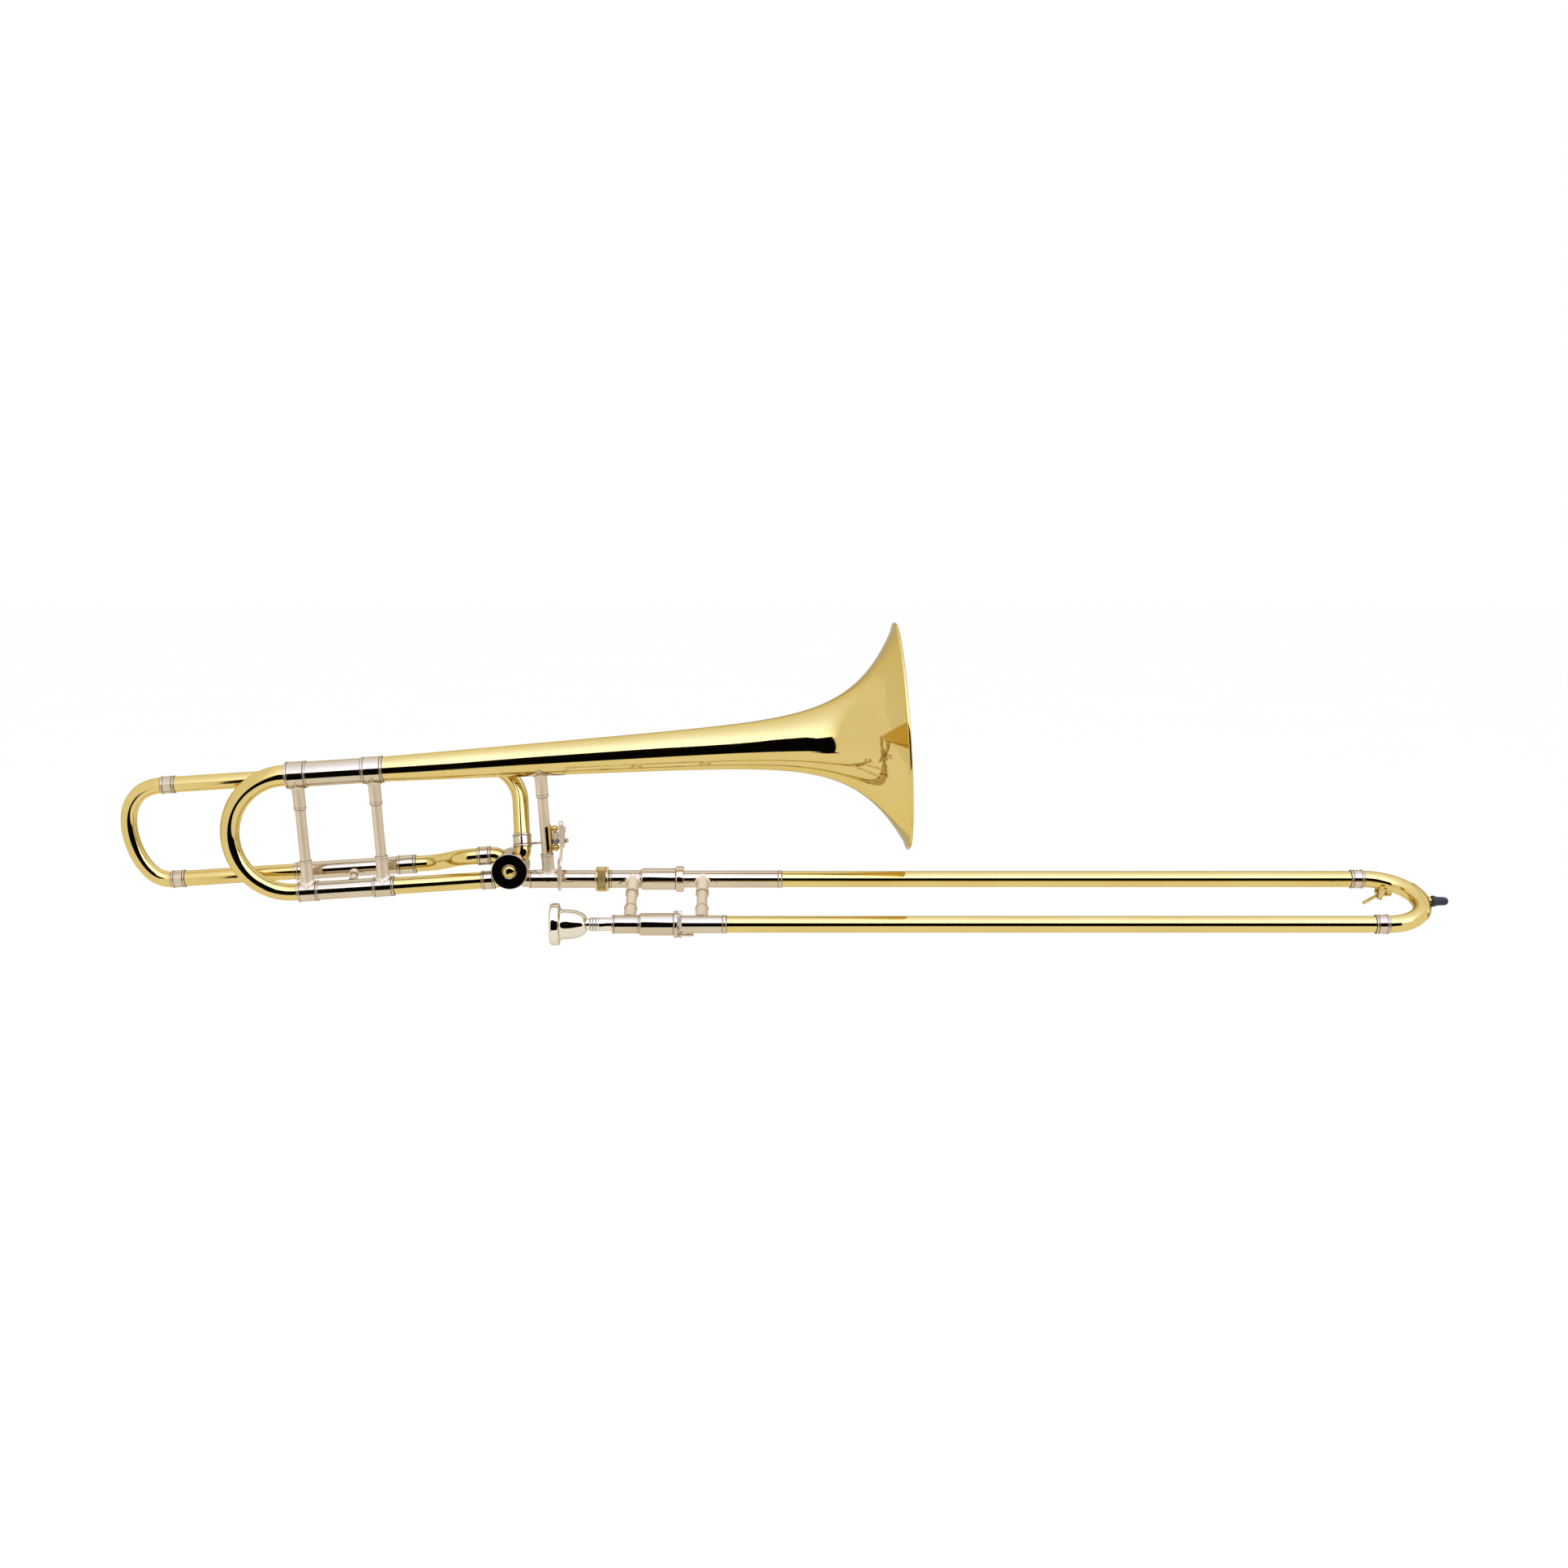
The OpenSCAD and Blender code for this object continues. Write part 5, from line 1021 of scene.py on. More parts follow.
# %% thumb lever
ARM_LONG, HALF_PRESS = 8, 12.5
THROW = ARM_LONG * sin_deg(45)
REAR_Y = THROW / math.tan(math.radians(HALF_PRESS))
ARM_W, PADDLE_TOP, PADDLE_Y, PADDLE_R = HINGE_TOP - 2.6, LOW_BALL - 14, -24.5, 8.3
across_bell = pivot_frame @ Matrix(((0, 0, 1, 0), (1, 0, 0, 0), (0, 1, 0, 0), (0, 0, 0, 1)))
PLATE, STRIP_T, STRIP_TOP = THROW - 1, 2, LOW_BALL + 1.4
PADDLE_LONG, PADDLE_T, PADDLE_DISH = 15.0, 2.0, 1.1
PADDLE_LEAN, PADDLE_TWIST = math.radians(5), math.radians(14)
leaning = (across_bell @ shift(0, STRIP_TOP, PLATE) @ turn(PADDLE_LEAN, "X")
           @ shift(0, -STRIP_TOP, -PLATE))
paddle_frame = leaning @ shift(PADDLE_Y, PADDLE_TOP - PADDLE_LONG / 2, PLATE) @ turn(PADDLE_TWIST, "Y")


def at_pin(w):
    return THROW, REAR_Y, ARM_W + w


barrel = box_outline(PIN_R + 0.2, HINGE_LOW, HINGE_R, HINGE_TOP)
head = round_bar((0, LOW_BALL + 4), (0, TOP_BALL + 3), 4.2)
arm_bar = round_bar((0, ARM_W), (REAR_Y, ARM_W), 3.0)
strip = round_bar((0, STRIP_TOP), (PADDLE_Y, PADDLE_TOP), 3.6)
lever = [turned(barrel, pivot_frame @ UPRIGHT, 48, 0.25),
         slab(head, BALL + 0.75, BALL + 4.95, across_bell, 0.7),
         slab(box_outline(-2, HINGE_TOP - 4.6, 2, HINGE_TOP), 2.0, PLATE + 1, across_bell, 0.3),
         slab(arm_bar, PLATE, PLATE + STRIP_T, across_bell, 0.5),
         slab(strip, PLATE, PLATE + STRIP_T, leaning, 0.5),
         paddle(PADDLE_R, PADDLE_LONG, PADDLE_T, PADDLE_DISH, paddle_frame),
         rod(at_pin(-14), at_pin(-3), 1.2, pivot_frame, 0.3, 24),
         rod(at_pin(-3), at_pin(3), 2.4, pivot_frame, 0.4, 32)]
show("trigger_lever", lever, nickel_satin)
print("thumb lever, paddle", round(2 * PADDLE_R, 1), "mm wide")

# %% [markdown]
# The link is a bent rod with an eye at each end. The stop arm is clamped on the rotor's spindle by a
# slotted screw; its tongue swings between two rubber bumpers, which set the valve's two positions.

# %% link and stop arm
LINK_Y = (THROW / sin_deg(HALF_PRESS) + REAR_Y) / 2
link_pin = Vector((VALVE_U + THROW, LINK_Y, VALVE_W + THROW))
link_knee = Vector((link_pin.x + 9, LINK_Y, VALVE_W + 16.9))
link_eye = Vector((BRACE_AT + PIVOT + THROW, LINK_Y, VALVE_W + 17.5))
EYE_WALL, EYE_HALF, LINK_R, PIN_EYE, LEVER_EYE = 1.8, 1.5, 1.2, 1.8, 2.4


def eye_ring(bore, place):
    return turned(box_outline(bore, -EYE_HALF, bore + EYE_WALL, EYE_HALF), place, 40, 0.4)


link_path = route([link_pin, link_knee, link_eye], 5)
link_path[0] = link_path[0] + (link_knee - link_pin).normalized() * 2.6
link_path[-1] = link_path[-1] + (link_knee - link_eye).normalized() * 3.4
show("trigger_link", [
    swept(link_path, LINK_R, BELL_FRAME, 0, 24),
    eye_ring(PIN_EYE, BELL_FRAME @ Matrix.Translation(link_pin) @ turn(math.pi / 2, "Z")),
    eye_ring(LEVER_EYE, BELL_FRAME @ Matrix.Translation(link_eye) @ UPRIGHT)], nickel)
ARM_BACK, ARM_T, ARM_PIN = CASING_HALF + 0.6, 4.4, 1.5
arm_frame = VALVE_FRAME @ shift(0, 0, -ARM_BACK - ARM_T)


def along_arm(degrees):
    return arm_frame @ turn(math.radians(degrees), "Z")


screw = [(0, 0), (4.4, 0), (4.4, -1.0), (3.9, -1.8), (0, -1.8)]
pin_end = ARM_BACK + ARM_T - LINK_Y - 1.9
hub, boss = box_outline(3.05, 0, 6, ARM_T), box_outline(ARM_PIN, 0, 3.2, ARM_T)
arm = [turned(hub, arm_frame @ UPRIGHT, 64, 0.4),
       turned(boss, arm_frame @ shift(THROW, THROW) @ UPRIGHT, 40, 0.4),
       slab(box_outline(4.5, -2.8, ARM_LONG, 2.8), 0, ARM_T, along_arm(45), 0.4),
       slab(box_outline(4.5, -2.4, 13, 2.4), 0, ARM_T, along_arm(225), 0.4),
       turned(screw, arm_frame @ shift(0, 0, -GAP) @ UPRIGHT, 48, 0.25),
       slab(box_outline(-3.6, -0.4, 3.6, 0.4), -1.95, -1.7, along_arm(20), 0.05),
       rod((THROW, THROW, pin_end), (THROW, THROW, ARM_T / 2), ARM_PIN, arm_frame, 0.2, 32),
       turned([(0, 0), (2.3, 0), (2.3, 1.0), (0, 1.0)],
              arm_frame @ shift(THROW, THROW, pin_end - 1.0) @ UPRIGHT, 32, 0.3)]
show("stop_arm", arm, nickel)
print("link", round((link_eye - link_pin).length, 1), "mm between its eyes")

# %% [markdown]
# ## The lock nut
# The nut that clamps slide to bell is grooved by a knurling tool: two sets of slanting ridges that
# cross into small pyramids. The band is a fine grid whose radius drops wherever either set has a
# groove, so the diamonds are real shape; both ends are left smooth and polished.

# %% knurled nut


def knurled(profile, teeth, depth, place, slant=0.0, per_tooth=6):
    segments, verts = teeth * per_tooth, []
    for r, x, cut in profile:
        for a in round_about(segments):
            turns = teeth * a / (2 * math.pi)
            one, two = ((turns + s * slant * x) % 1.0 for s in (1, -1))
            high = min(1 - abs(2 * one - 1), 1 - abs(2 * two - 1))
            rr = r - cut * depth * (1 - min(1.0, 1.6 * high))
            verts.append(place @ Vector((x, rr * math.cos(a), rr * math.sin(a))))
    return verts, bands(len(profile), segments, shut_rows=True)


NUT_R, THREAD_R, NUT_BORE, THREAD_END = 12.0, COLLAR_R + 0.3, NECK_R + 0.3, 2.5
NUT_TEETH, BAND_HALF, BAND_STEPS = 64, 3.4, 40
band = [(NUT_R, -BAND_HALF + 2 * BAND_HALF * i / BAND_STEPS, 1.0) for i in range(BAND_STEPS + 1)]
smooth = [(0.95, NUT_HALF), (0.5, NUT_HALF - 0.25), (0.2, NUT_HALF - 0.8), (0.2, 4.1), (0.75, 3.9),
          (0.75, 3.6)]
nut = [(THREAD_R, -NUT_HALF, 0)] + [(NUT_R - drop, -x, 0) for drop, x in smooth] + band
nut += [(NUT_R - drop, x, 0) for drop, x in reversed(smooth)]
nut += [(NUT_BORE, NUT_HALF, 0), (NUT_BORE, THREAD_END, 0), (THREAD_R, THREAD_END, 0)]
show("lock_nut", [knurled(nut, NUT_TEETH, 0.45, UPPER_LEG, slant=0.62)], nut_brass, 34)
print("nut knurled with", NUT_TEETH, "teeth")

# %% [markdown]
# ## Tenon, receiver, cork barrels and inner tubes
# The inner slide is two long plated tubes held by turned fittings. A tenon leads the upper tube into
# the neckpipe, and a receiver takes the mouthpiece. Both are turned, each from one outline.

# %% tenon and receiver
INNER_R, INNER_BORE, BARREL_R, BARREL_BORE, RING_R = 7.0, 6.6, 10.35, 8.6, 12.5
BARREL_START, BARREL_END, RECEIVER_START, RECEIVER_END, RECEIVER_R = 36.0, 78.7, 14.0, 38.0, 8.45
RING_WIDE, CORK_START = 7.7, 41.0
RING_START, SEAT_R = BARREL_END - RING_WIDE, INNER_R + GAP
TENON_START, TENON_R, TENON_SEAT, RECEIVER_SEAT = -34, 7.2, 20, 30
STOCKING_R, STOCKING_START, INNER_END = 7.1, 610, 715
tenon = [(INNER_BORE, TENON_START), (TENON_R, TENON_START), (TENON_R, 0.3), (COLLAR_R, 0.3),
         (COLLAR_R, 2.2), (NECK_R, 2.2), (NECK_R, 7.2), (NECK_R + 0.3, 7.5), (NECK_R + 0.3, 8.5),
         (NECK_R, 8.8), (NECK_R, BARREL_START - GAP), (SEAT_R, BARREL_START - GAP),
         (SEAT_R, TENON_SEAT), (INNER_BORE, TENON_SEAT)]
show("slide_tenon", [turned(tenon, UPPER_LEG, 96, 0.2), seam(NECK_R, 6.9, UPPER_LEG),
                     seam(NECK_R, 9.1, UPPER_LEG)], nickel_drawn)
mouth_bead = [(RECEIVER_R + rise, RECEIVER_START + x)
              for rise, x in ((0, 0), (0.35, 0.4), (0.35, 1.6), (0, 2))]
receiver = [(6.35, RECEIVER_START), *mouth_bead, (RECEIVER_R, RECEIVER_END - GAP),
            (SEAT_R, RECEIVER_END - GAP), (SEAT_R, RECEIVER_SEAT), (6.2, RECEIVER_SEAT)]
show("mouthpiece_receiver", [turned(receiver, LOWER_LEG, 96, 0.2),
                             seam(RECEIVER_R, RECEIVER_START + 2.3, LOWER_LEG)], nickel_drawn)
print("receiver", RECEIVER_END - RECEIVER_START, "mm long")

# %% [markdown]
# Two barrels hide the cork rings that stop the outer slide. They share a shoulder and a swell; the
# upper one ends in a fat bead, the lower one in a plain neck for the lock ring. The inner tubes are
# a little thicker at their far ends, where they touch the outer tubes.

# %% cork barrels and inner tubes


def cork_barrel(node, x0, r0, far, leg):
    lip, rise = r0 + 0.2, x0 + 1.6
    shoulder = [(SEAT_R, x0), (r0, x0), (r0 + 0.5, x0 + 0.4), (r0 + 0.5, x0 + 1.2), (lip, rise)]
    swell = [(lip + (BARREL_R - lip) * sin_deg(a), rise + 2.0 * (1 - cos_deg(a)))
             for a in range(15, 91, 15)]
    bore = [(BARREL_BORE, BARREL_END), (BARREL_BORE, CORK_START), (SEAT_R, CORK_START)]
    show(node, [turned(shoulder + swell + far + bore, leg, 96, 0), seam(lip, x0 + 1.7, leg),
                seam(BARREL_R, RING_START - 0.3, leg)], nickel)


BEAD_ROOT, BEAD_HALF = BARREL_R + 0.6, RING_WIDE / 2
swollen = [(BEAD_ROOT + (RING_R - BEAD_ROOT) * sin_deg(a) ** 0.6,
            RING_START + BEAD_HALF - BEAD_HALF * cos_deg(a)) for a in range(6, 175, 8)]
bead_ring = [(BARREL_R, RING_START), *swollen, (BEAD_ROOT, BARREL_END)]
plain_neck = [(BARREL_R, RING_START), (BARREL_R - 0.7, RING_START), (BARREL_R - 0.7, BARREL_END)]
cork_barrel("upper_cork_barrel", BARREL_START, NECK_R, bead_ring, UPPER_LEG)
cork_barrel("lower_cork_barrel", RECEIVER_END, RECEIVER_R, plain_neck, LOWER_LEG)
for node, seat, leg in (("upper_inner_tube", TENON_SEAT, UPPER_LEG),
                        ("lower_inner_tube", RECEIVER_SEAT, LOWER_LEG)):
    outline = [(INNER_BORE, seat + GAP), (INNER_R, seat + GAP), (INNER_R, STOCKING_START),
               (STOCKING_R, STOCKING_START + 2), (STOCKING_R, INNER_END - 1), (INNER_R, INNER_END),
               (INNER_BORE, INNER_END)]
    show(node, [turned(outline, leg, 64, 0)], nickel_drawn)


def across(x):
    return SLIDE_PLANE @ shift(x) @ turn(-math.pi / 2, "X")


hand_frame = across(30)
brace("hand_brace", [foot(NECK_R, 14, 5.5, hand_frame),
                     foot(RECEIVER_R, 11, 5.5, opposite(hand_frame, LEG_GAP))],
      NECK_R, LEG_GAP - RECEIVER_R, hand_frame)
print("inner slide, tubes to X", INNER_END)

# %% [markdown]
# ## Mouthpiece
# A cup mouthpiece is turned from solid and silver plated. Its outline is read from the outside: a
# rounded rim, a hollow under it, a bowl that closes like a quarter of an egg, a thin waist, three
# beads and a tapered shank. The inside is a cup that narrows to the throat.

# %% mouthpiece
CUP_X, BITE, RIM_OUT, THROAT, SHANK_R = -43.3, 12.75, 19.5, 3.5, 6.25
RIM_DEEP, CUP_DEEP, BOWL_R, BOWL_X, BOWL_LONG = 2.6, 20.4, 8.5, 15, 19
WAIST_R, RING_ROOT, RING_RISE, RING_HALF, RING_STEP = 5.3, 5.95, 0.5, 1.1, 2.6
RINGS_X, SHANK_END = 37.6, RECEIVER_START + 29
crown = (RIM_OUT - BITE) / 2
mouthpiece = [(BITE + crown - crown * cos_deg(a), RIM_DEEP - RIM_DEEP * sin_deg(a))
              for a in range(0, 181, 6)]
mouthpiece += [(RIM_OUT, 7.6), (RIM_OUT - 0.2, 8.4), (RIM_OUT - 1.0, 8.95), (16.6, 9.25)]
mouthpiece += [(13.9 + 2.4 * (1 - sin_deg(a)), 9.3 + 3.6 * (1 - cos_deg(a))) for a in range(10, 91, 10)]
mouthpiece += [(WAIST_R + BOWL_R * cos_deg(a), BOWL_X + BOWL_LONG * sin_deg(a))
               for a in range(0, 91, 4)]
mouthpiece += [(WAIST_R, 36.2), (WAIST_R + 0.3, 37.2)]
for x in (RINGS_X, RINGS_X + RING_STEP, RINGS_X + 2 * RING_STEP):
    mouthpiece += [(RING_ROOT + RING_RISE * sin_deg(a), x + RING_HALF - RING_HALF * cos_deg(a))
                   for a in range(0, 181, 15)]
mouthpiece += [(SHANK_R, 45.6), (SHANK_R, RECEIVER_START - CUP_X), (SHANK_R - 0.55, SHANK_END - CUP_X),
               (SHANK_R - 1.55, SHANK_END - CUP_X)]
mouthpiece += [(THROAT + (BITE - THROAT) * sin_deg(a), RIM_DEEP + CUP_DEEP * cos_deg(a))
               for a in range(0, 90, 5)]
cup_frame = LOWER_LEG @ shift(CUP_X)
show("mouthpiece", [turned(mouthpiece, cup_frame, 128, 0)]
     + [seam(RING_ROOT + 0.02, RINGS_X - 0.2 + RING_STEP * i, cup_frame, 0.45) for i in range(4)], silver)
print("mouthpiece", round(SHANK_END - CUP_X, 1), "mm long")

# %% [markdown]
# ## Slide lock
# A ring round the lower barrel turns by hand, so half of it is knurled. Its finger reaches over the
# outer slide and hooks round a stud, which keeps the slide from running out.

# %% lock ring and stud
RING_X, RING_BORE, RING_TEETH, HOOK_T, OVERSLEEVE_R = RING_START + 0.3, 9.95, 84, 1.6, 8.2
smooth_half = [(0.6, 0), (0.15, 0.5), (0, 1.2), (0, 2.7), (0.15, 3.0), (0.5, 3.2), (0.5, 3.6)]
ring_profile = [(RING_BORE, RING_X, 0)] + [(RING_R - drop, RING_X + x, 0) for drop, x in smooth_half]
ring_profile += [(RING_R - 0.1, RING_X + 3.8, 1), (RING_R, RING_X + 4.2, 1),
                 (RING_R, BARREL_END - 1.0, 1), (RING_R - 0.6, BARREL_END, 0.4),
                 (RING_BORE, BARREL_END, 0)]
hook = [(0, -1.5), (11.6, -1.5), (11.6, 4.5), (9.4, 4.5), (9.4, 1.5), (0, 1.5)]
finger_frame = LOWER_LEG @ shift(BARREL_END - 1, 0, -12.3)
show("slide_lock_ring", [knurled(ring_profile, RING_TEETH, 0.4, LOWER_LEG, per_tooth=4),
                         slab(hook, 0, HOOK_T, finger_frame, 0.25)], nickel, 34)
STUD_SIDE, STUD_FROM_AXIS, STUD_TOP = 6.2, 10.7, 12.3
stud_turn = math.asin(STUD_SIDE / STUD_FROM_AXIS)
stud = [(0, 7.9), (2.2, 7.9), (2.2, OVERSLEEVE_R + 0.75), (1.3, OVERSLEEVE_R + 1.1),
        (1.2, STUD_TOP - 0.5), (0.9, STUD_TOP), (0, STUD_TOP)]
stud_frame = LOWER_LEG @ turn(stud_turn, "X") @ shift(BARREL_END + 6.6) @ turn(math.pi / 2, "Y")
show("lock_stud", [turned(stud, stud_frame, 40, 0.1)], nickel)
print("lock ring with", RING_TEETH, "teeth, stud at", round(math.degrees(stud_turn), 1), "degrees")

# %% [markdown]
# ## Outer slide
# The part that the right hand moves: two lacquered brass tubes with nickel oversleeves where the
# brace is soldered, joined at the far end by the bow. The bow is one tube bent through half a circle.

# %% outer slide
OUTER_R, OUTER_BORE, OUTER_START, BOW_X, BOW_JOINT = 7.75, 7.35, 46.3, 732.0, 726.6
BOW_BEND, BOW_R = LEG_GAP / 2, 8.0
for node, leg in (("upper_outer_tube", UPPER_LEG), ("lower_outer_tube", LOWER_LEG)):
    show(node, [tube(OUTER_R, OUTER_BORE, OUTER_START, BOW_JOINT - GAP, leg, 80)], brass_drawn)
for node, end, leg in (("upper_oversleeve", 172.7, UPPER_LEG), ("lower_oversleeve", 119.7, LOWER_LEG)):
    lip = OVERSLEEVE_R + 0.4
    outline = [(OUTER_R + GAP, OUTER_START), (OVERSLEEVE_R, OUTER_START), (OVERSLEEVE_R, end - 3.2),
               (lip, end - 2.8), (lip, end - 0.6), (OVERSLEEVE_R, end), (OUTER_R + GAP, end)]
    show(node, [turned(outline, leg, 80, 0.18), seam(OVERSLEEVE_R, end - 3.5, leg),
                seam(OUTER_R + 0.3, end + 0.2, leg)], nickel_drawn)
outer_frame = across(96.7)
brace("outer_brace", [foot(OVERSLEEVE_R, 15, 15, place)
                      for place in (outer_frame, opposite(outer_frame, LEG_GAP))],
      OVERSLEEVE_R, LEG_GAP - OVERSLEEVE_R, outer_frame)
half_turn = [Vector((BOW_X + BOW_BEND * sin_deg(a), BOW_BEND * (1 - cos_deg(a)), 0))
             for a in range(0, 181, 3)]
bow_path = [Vector((BOW_JOINT + GAP, 0, 0)), *half_turn, Vector((BOW_JOINT + GAP, LEG_GAP, 0))]
show("slide_bow", [swept(bow_path, BOW_R, SLIDE_PLANE, BENT_WALL, 64)], brass_drawn)
bow_ends = BOW_JOINT - 6.75, BOW_JOINT + 5.35
show("bow_ferrules", [ferrule(BOW_R + 0.8, *bow_ends, OUTER_R + GAP, BOW_R + GAP, BOW_JOINT, leg)
                      for leg in (UPPER_LEG, LOWER_LEG)], nickel)
print("outer slide, bow bent round", BOW_BEND, "mm")

# %% [markdown]
# ## Wear plate and bumper
# The bow is set down on its end, so a leaf of brass is soldered round the outside. The leaf is again
# a grid, this time wrapped on the ring of the bow, and ends where a flat cut across the ring would
# end it.

# %% wear plate
GUARD_X, GUARD_T = BOW_BEND - 1.0, 0.8


def bow_leaf(r_in, thick, place):
    rows, cols, verts = 40, 32, []
    widest = math.acos(GUARD_X / (BOW_BEND + r_in))
    for layer in (1, 0):
        for i in range(rows + 1):
            a = widest * (2 * i / rows - 1)
            side = math.acos(max(-1.0, min(1.0, (GUARD_X / math.cos(a) - BOW_BEND) / r_in)))
            for j in range(cols + 1):
                s = 2 * j / cols - 1
                b = side * s
                r = r_in + (thick * (0.3 + 0.7 * math.sqrt(max(0.0, 1 - s ** 6))) if layer else 0.0)
                out = BOW_BEND + r * math.cos(b)
                verts.append(place @ Vector((out * math.cos(a), out * math.sin(a), r * math.sin(b))))
    return verts, leaf_faces(rows, cols)


bow_frame = SLIDE_PLANE @ shift(BOW_X, BOW_BEND, 0)
show("bow_guard", [bow_leaf(BOW_R + GAP, GUARD_T, bow_frame)], brass_cast)
print("wear plate", GUARD_T, "mm thick")

# %% [markdown]
# A rubber tip on a brass stem takes the knock. The stem's foot is lowered onto the curve of the bow,
# ring point by ring point; the tip is turned with a collar and a domed end.

# %% bumper
BOW_TIP = BOW_BEND + BOW_R + GAP + GUARD_T
STEM_TOP, BUMPER_STEM_R, BASE_R = BOW_TIP + 8.0, 3.0, 4.6


def bumper_base(place, sides=48):
    verts, crust = [], BOW_R + 0.9
    rings = [(BUMPER_STEM_R, None), (BASE_R, None), (BASE_R, BOW_TIP + 0.6), (4.2, BOW_TIP + 1.0),
             (3.4, BOW_TIP + 1.0), (BUMPER_STEM_R, BOW_TIP + 1.4), (BUMPER_STEM_R, STEM_TOP - 0.3),
             (2.7, STEM_TOP)]
    for r, x in rings:
        for a in round_about(sides):
            y, z = r * math.cos(a), r * math.sin(a)
            seat = math.sqrt((BOW_BEND + math.sqrt(crust ** 2 - z * z)) ** 2 - y * y)
            verts.append(place @ Vector((seat if x is None else x, y, z)))
    return verts, bands(len(rings), sides) + [ring_of(0, sides), ring_of(len(rings) - 1, sides)]


show("bumper_stem", [bumper_base(bow_frame)], brass_cast)
TIP, TIP_R, TIP_STRAIGHT, TIP_BORE = BOW_TIP + 2.2, 3.9, 12, BUMPER_STEM_R + GAP
TIP_END = TIP + TIP_STRAIGHT + TIP_R
tip_outline = [(TIP_BORE, TIP), (4.9, TIP), (5.35, TIP + 0.5), (5.35, TIP + 2.6), (5.0, TIP + 3.2),
               (4.45, TIP + 3.7), (4.25, TIP + 5.0), (TIP_R, TIP + TIP_STRAIGHT)]
tip_outline += [(TIP_R * cos_deg(a), TIP + TIP_STRAIGHT + TIP_R * sin_deg(a)) for a in range(8, 91, 8)]
tip_outline += [(0, TIP_END), (0, STEM_TOP + GAP), (TIP_BORE, STEM_TOP + GAP)]
show("bumper_tip", [turned(tip_outline, bow_frame, 64, 0.12)], rubber)
print("bumper reaches", round(BOW_X + TIP_END, 1), "mm from the nut")

# %% [markdown]
# ## Water key
# Breath condenses in the slide, and the water key lets it out. Its saddle is a small plate bent onto
# the bow, with a drilled nib and two lugs that carry the lever's pin. The plate is a grid whose
# underside follows the bow.

# %% water key saddle
KEY_A = math.radians(35)
KEY_X, KEY_Y = BOW_X + BOW_BEND * math.sin(KEY_A), BOW_BEND * (1 - math.cos(KEY_A))
KEY_BACK, KEY_Z, NIB_TOP, COIL_START, COIL_LONG = 9.0, BOW_R + 5, BOW_R + 2.4, 2.2, 2.7
LUG, LUG_T, LUG_R, NIB_R, DRAIN_R = COIL_START + COIL_LONG + 0.7, 1.2, 2.2, 3.2, 1.6
key_frame = SLIDE_PLANE @ shift(KEY_X, KEY_Y, 0)
key_side = key_frame @ turn(math.pi / 2, "X")


def on_bow(x, y):
    out = math.hypot(KEY_X + x - BOW_X, BOW_BEND - KEY_Y - y) - BOW_BEND
    return math.sqrt(max(0.0, (BOW_R + GAP) ** 2 - out * out))


def saddle_plate(x0, x1, y0, y1, top, place):
    n, verts = 16, []
    for layer in (0, 1):
        for i in range(n + 1):
            for j in range(n + 1):
                x, y = x0 + (x1 - x0) * i / n, y0 + (y1 - y0) * j / n
                edge = min(i, n - i, j, n - j)
                lift = max(0.3, top - (0.5 if edge == 0 else 0)) if layer else 0
                verts.append(place @ Vector((x, y, max(on_bow(x, y), 3.0) + lift)))
    row, size = n + 1, (n + 1) ** 2
    border = [i * row for i in range(row)] + [n * row + j for j in range(1, row)]
    border += [i * row + n for i in range(n - 1, -1, -1)] + list(range(n - 1, 0, -1))
    sides = [(a, b, size + b, size + a) for a, b in zip(border, border[1:] + border[:1])]
    return verts, bands(row, row, 0, shut_cols=False) + bands(row, row, size, shut_cols=False) + sides


nib = [(DRAIN_R, BOW_R - 0.4), (4.0, BOW_R - 0.4), (3.5, BOW_R + 0.5), (NIB_R, BOW_R + 1.1),
       (NIB_R, NIB_TOP), (DRAIN_R, NIB_TOP)]
side = LUG + LUG_T
saddle_parts = [saddle_plate(-KEY_BACK - 2.4, -1.5, -side, side, 1.2, key_frame),
                turned(nib, key_frame @ UPRIGHT, 48, 0.3),
                rod((-KEY_BACK, -side, KEY_Z), (-KEY_BACK, side, KEY_Z), 1.0, key_frame, 0.2, 24)]
for y in (-side, LUG):
    root = on_bow(-KEY_BACK, y + LUG_T / 2) + 0.3
    lug = [(-KEY_BACK - LUG_R, root), (-KEY_BACK + LUG_R, root)]
    lug += [(-KEY_BACK + LUG_R * cos_deg(a), KEY_Z + LUG_R * sin_deg(a)) for a in range(0, 181, 15)]
    saddle_parts.append(slab(lug, -y - LUG_T, -y, key_side, 0.25))
show("water_key_saddle", saddle_parts, brass_cast)
print("lugs", round(2 * LUG, 1), "mm apart")

# %% [markdown]
# The lever has a hinge barrel, an arm to the pad cup and a touch for the finger. A cork pad closes
# the nib, and a spring wound round the barrel holds it down.

# %% water key lever
HALF, ARM_Z = COIL_START + COIL_LONG + 0.4, NIB_TOP + 2.6
KEY_ARM_R, KEY_ARM_HALF, CUP_TOP = 1.1, 1.5, NIB_TOP + 2.7
hinge_frame = key_frame @ shift(-KEY_BACK, 0, KEY_Z) @ turn(math.pi / 2, "Z")
front_arm = round_bar((0, ARM_Z), (-KEY_BACK + 1.5, KEY_Z), KEY_ARM_R)
touch = round_bar((-KEY_BACK - 1.5, KEY_Z + 1.0), (-22, KEY_Z + 9), KEY_ARM_R)
pad_cup = [(0, NIB_TOP + 1.1), (3.5, NIB_TOP + 1.1), (3.5, CUP_TOP - 0.5), (3.0, CUP_TOP), (0, CUP_TOP)]
pad = [(0, NIB_TOP + 0.3), (3.1, NIB_TOP + 0.3), (3.1, NIB_TOP + 1.3), (0, NIB_TOP + 1.3)]
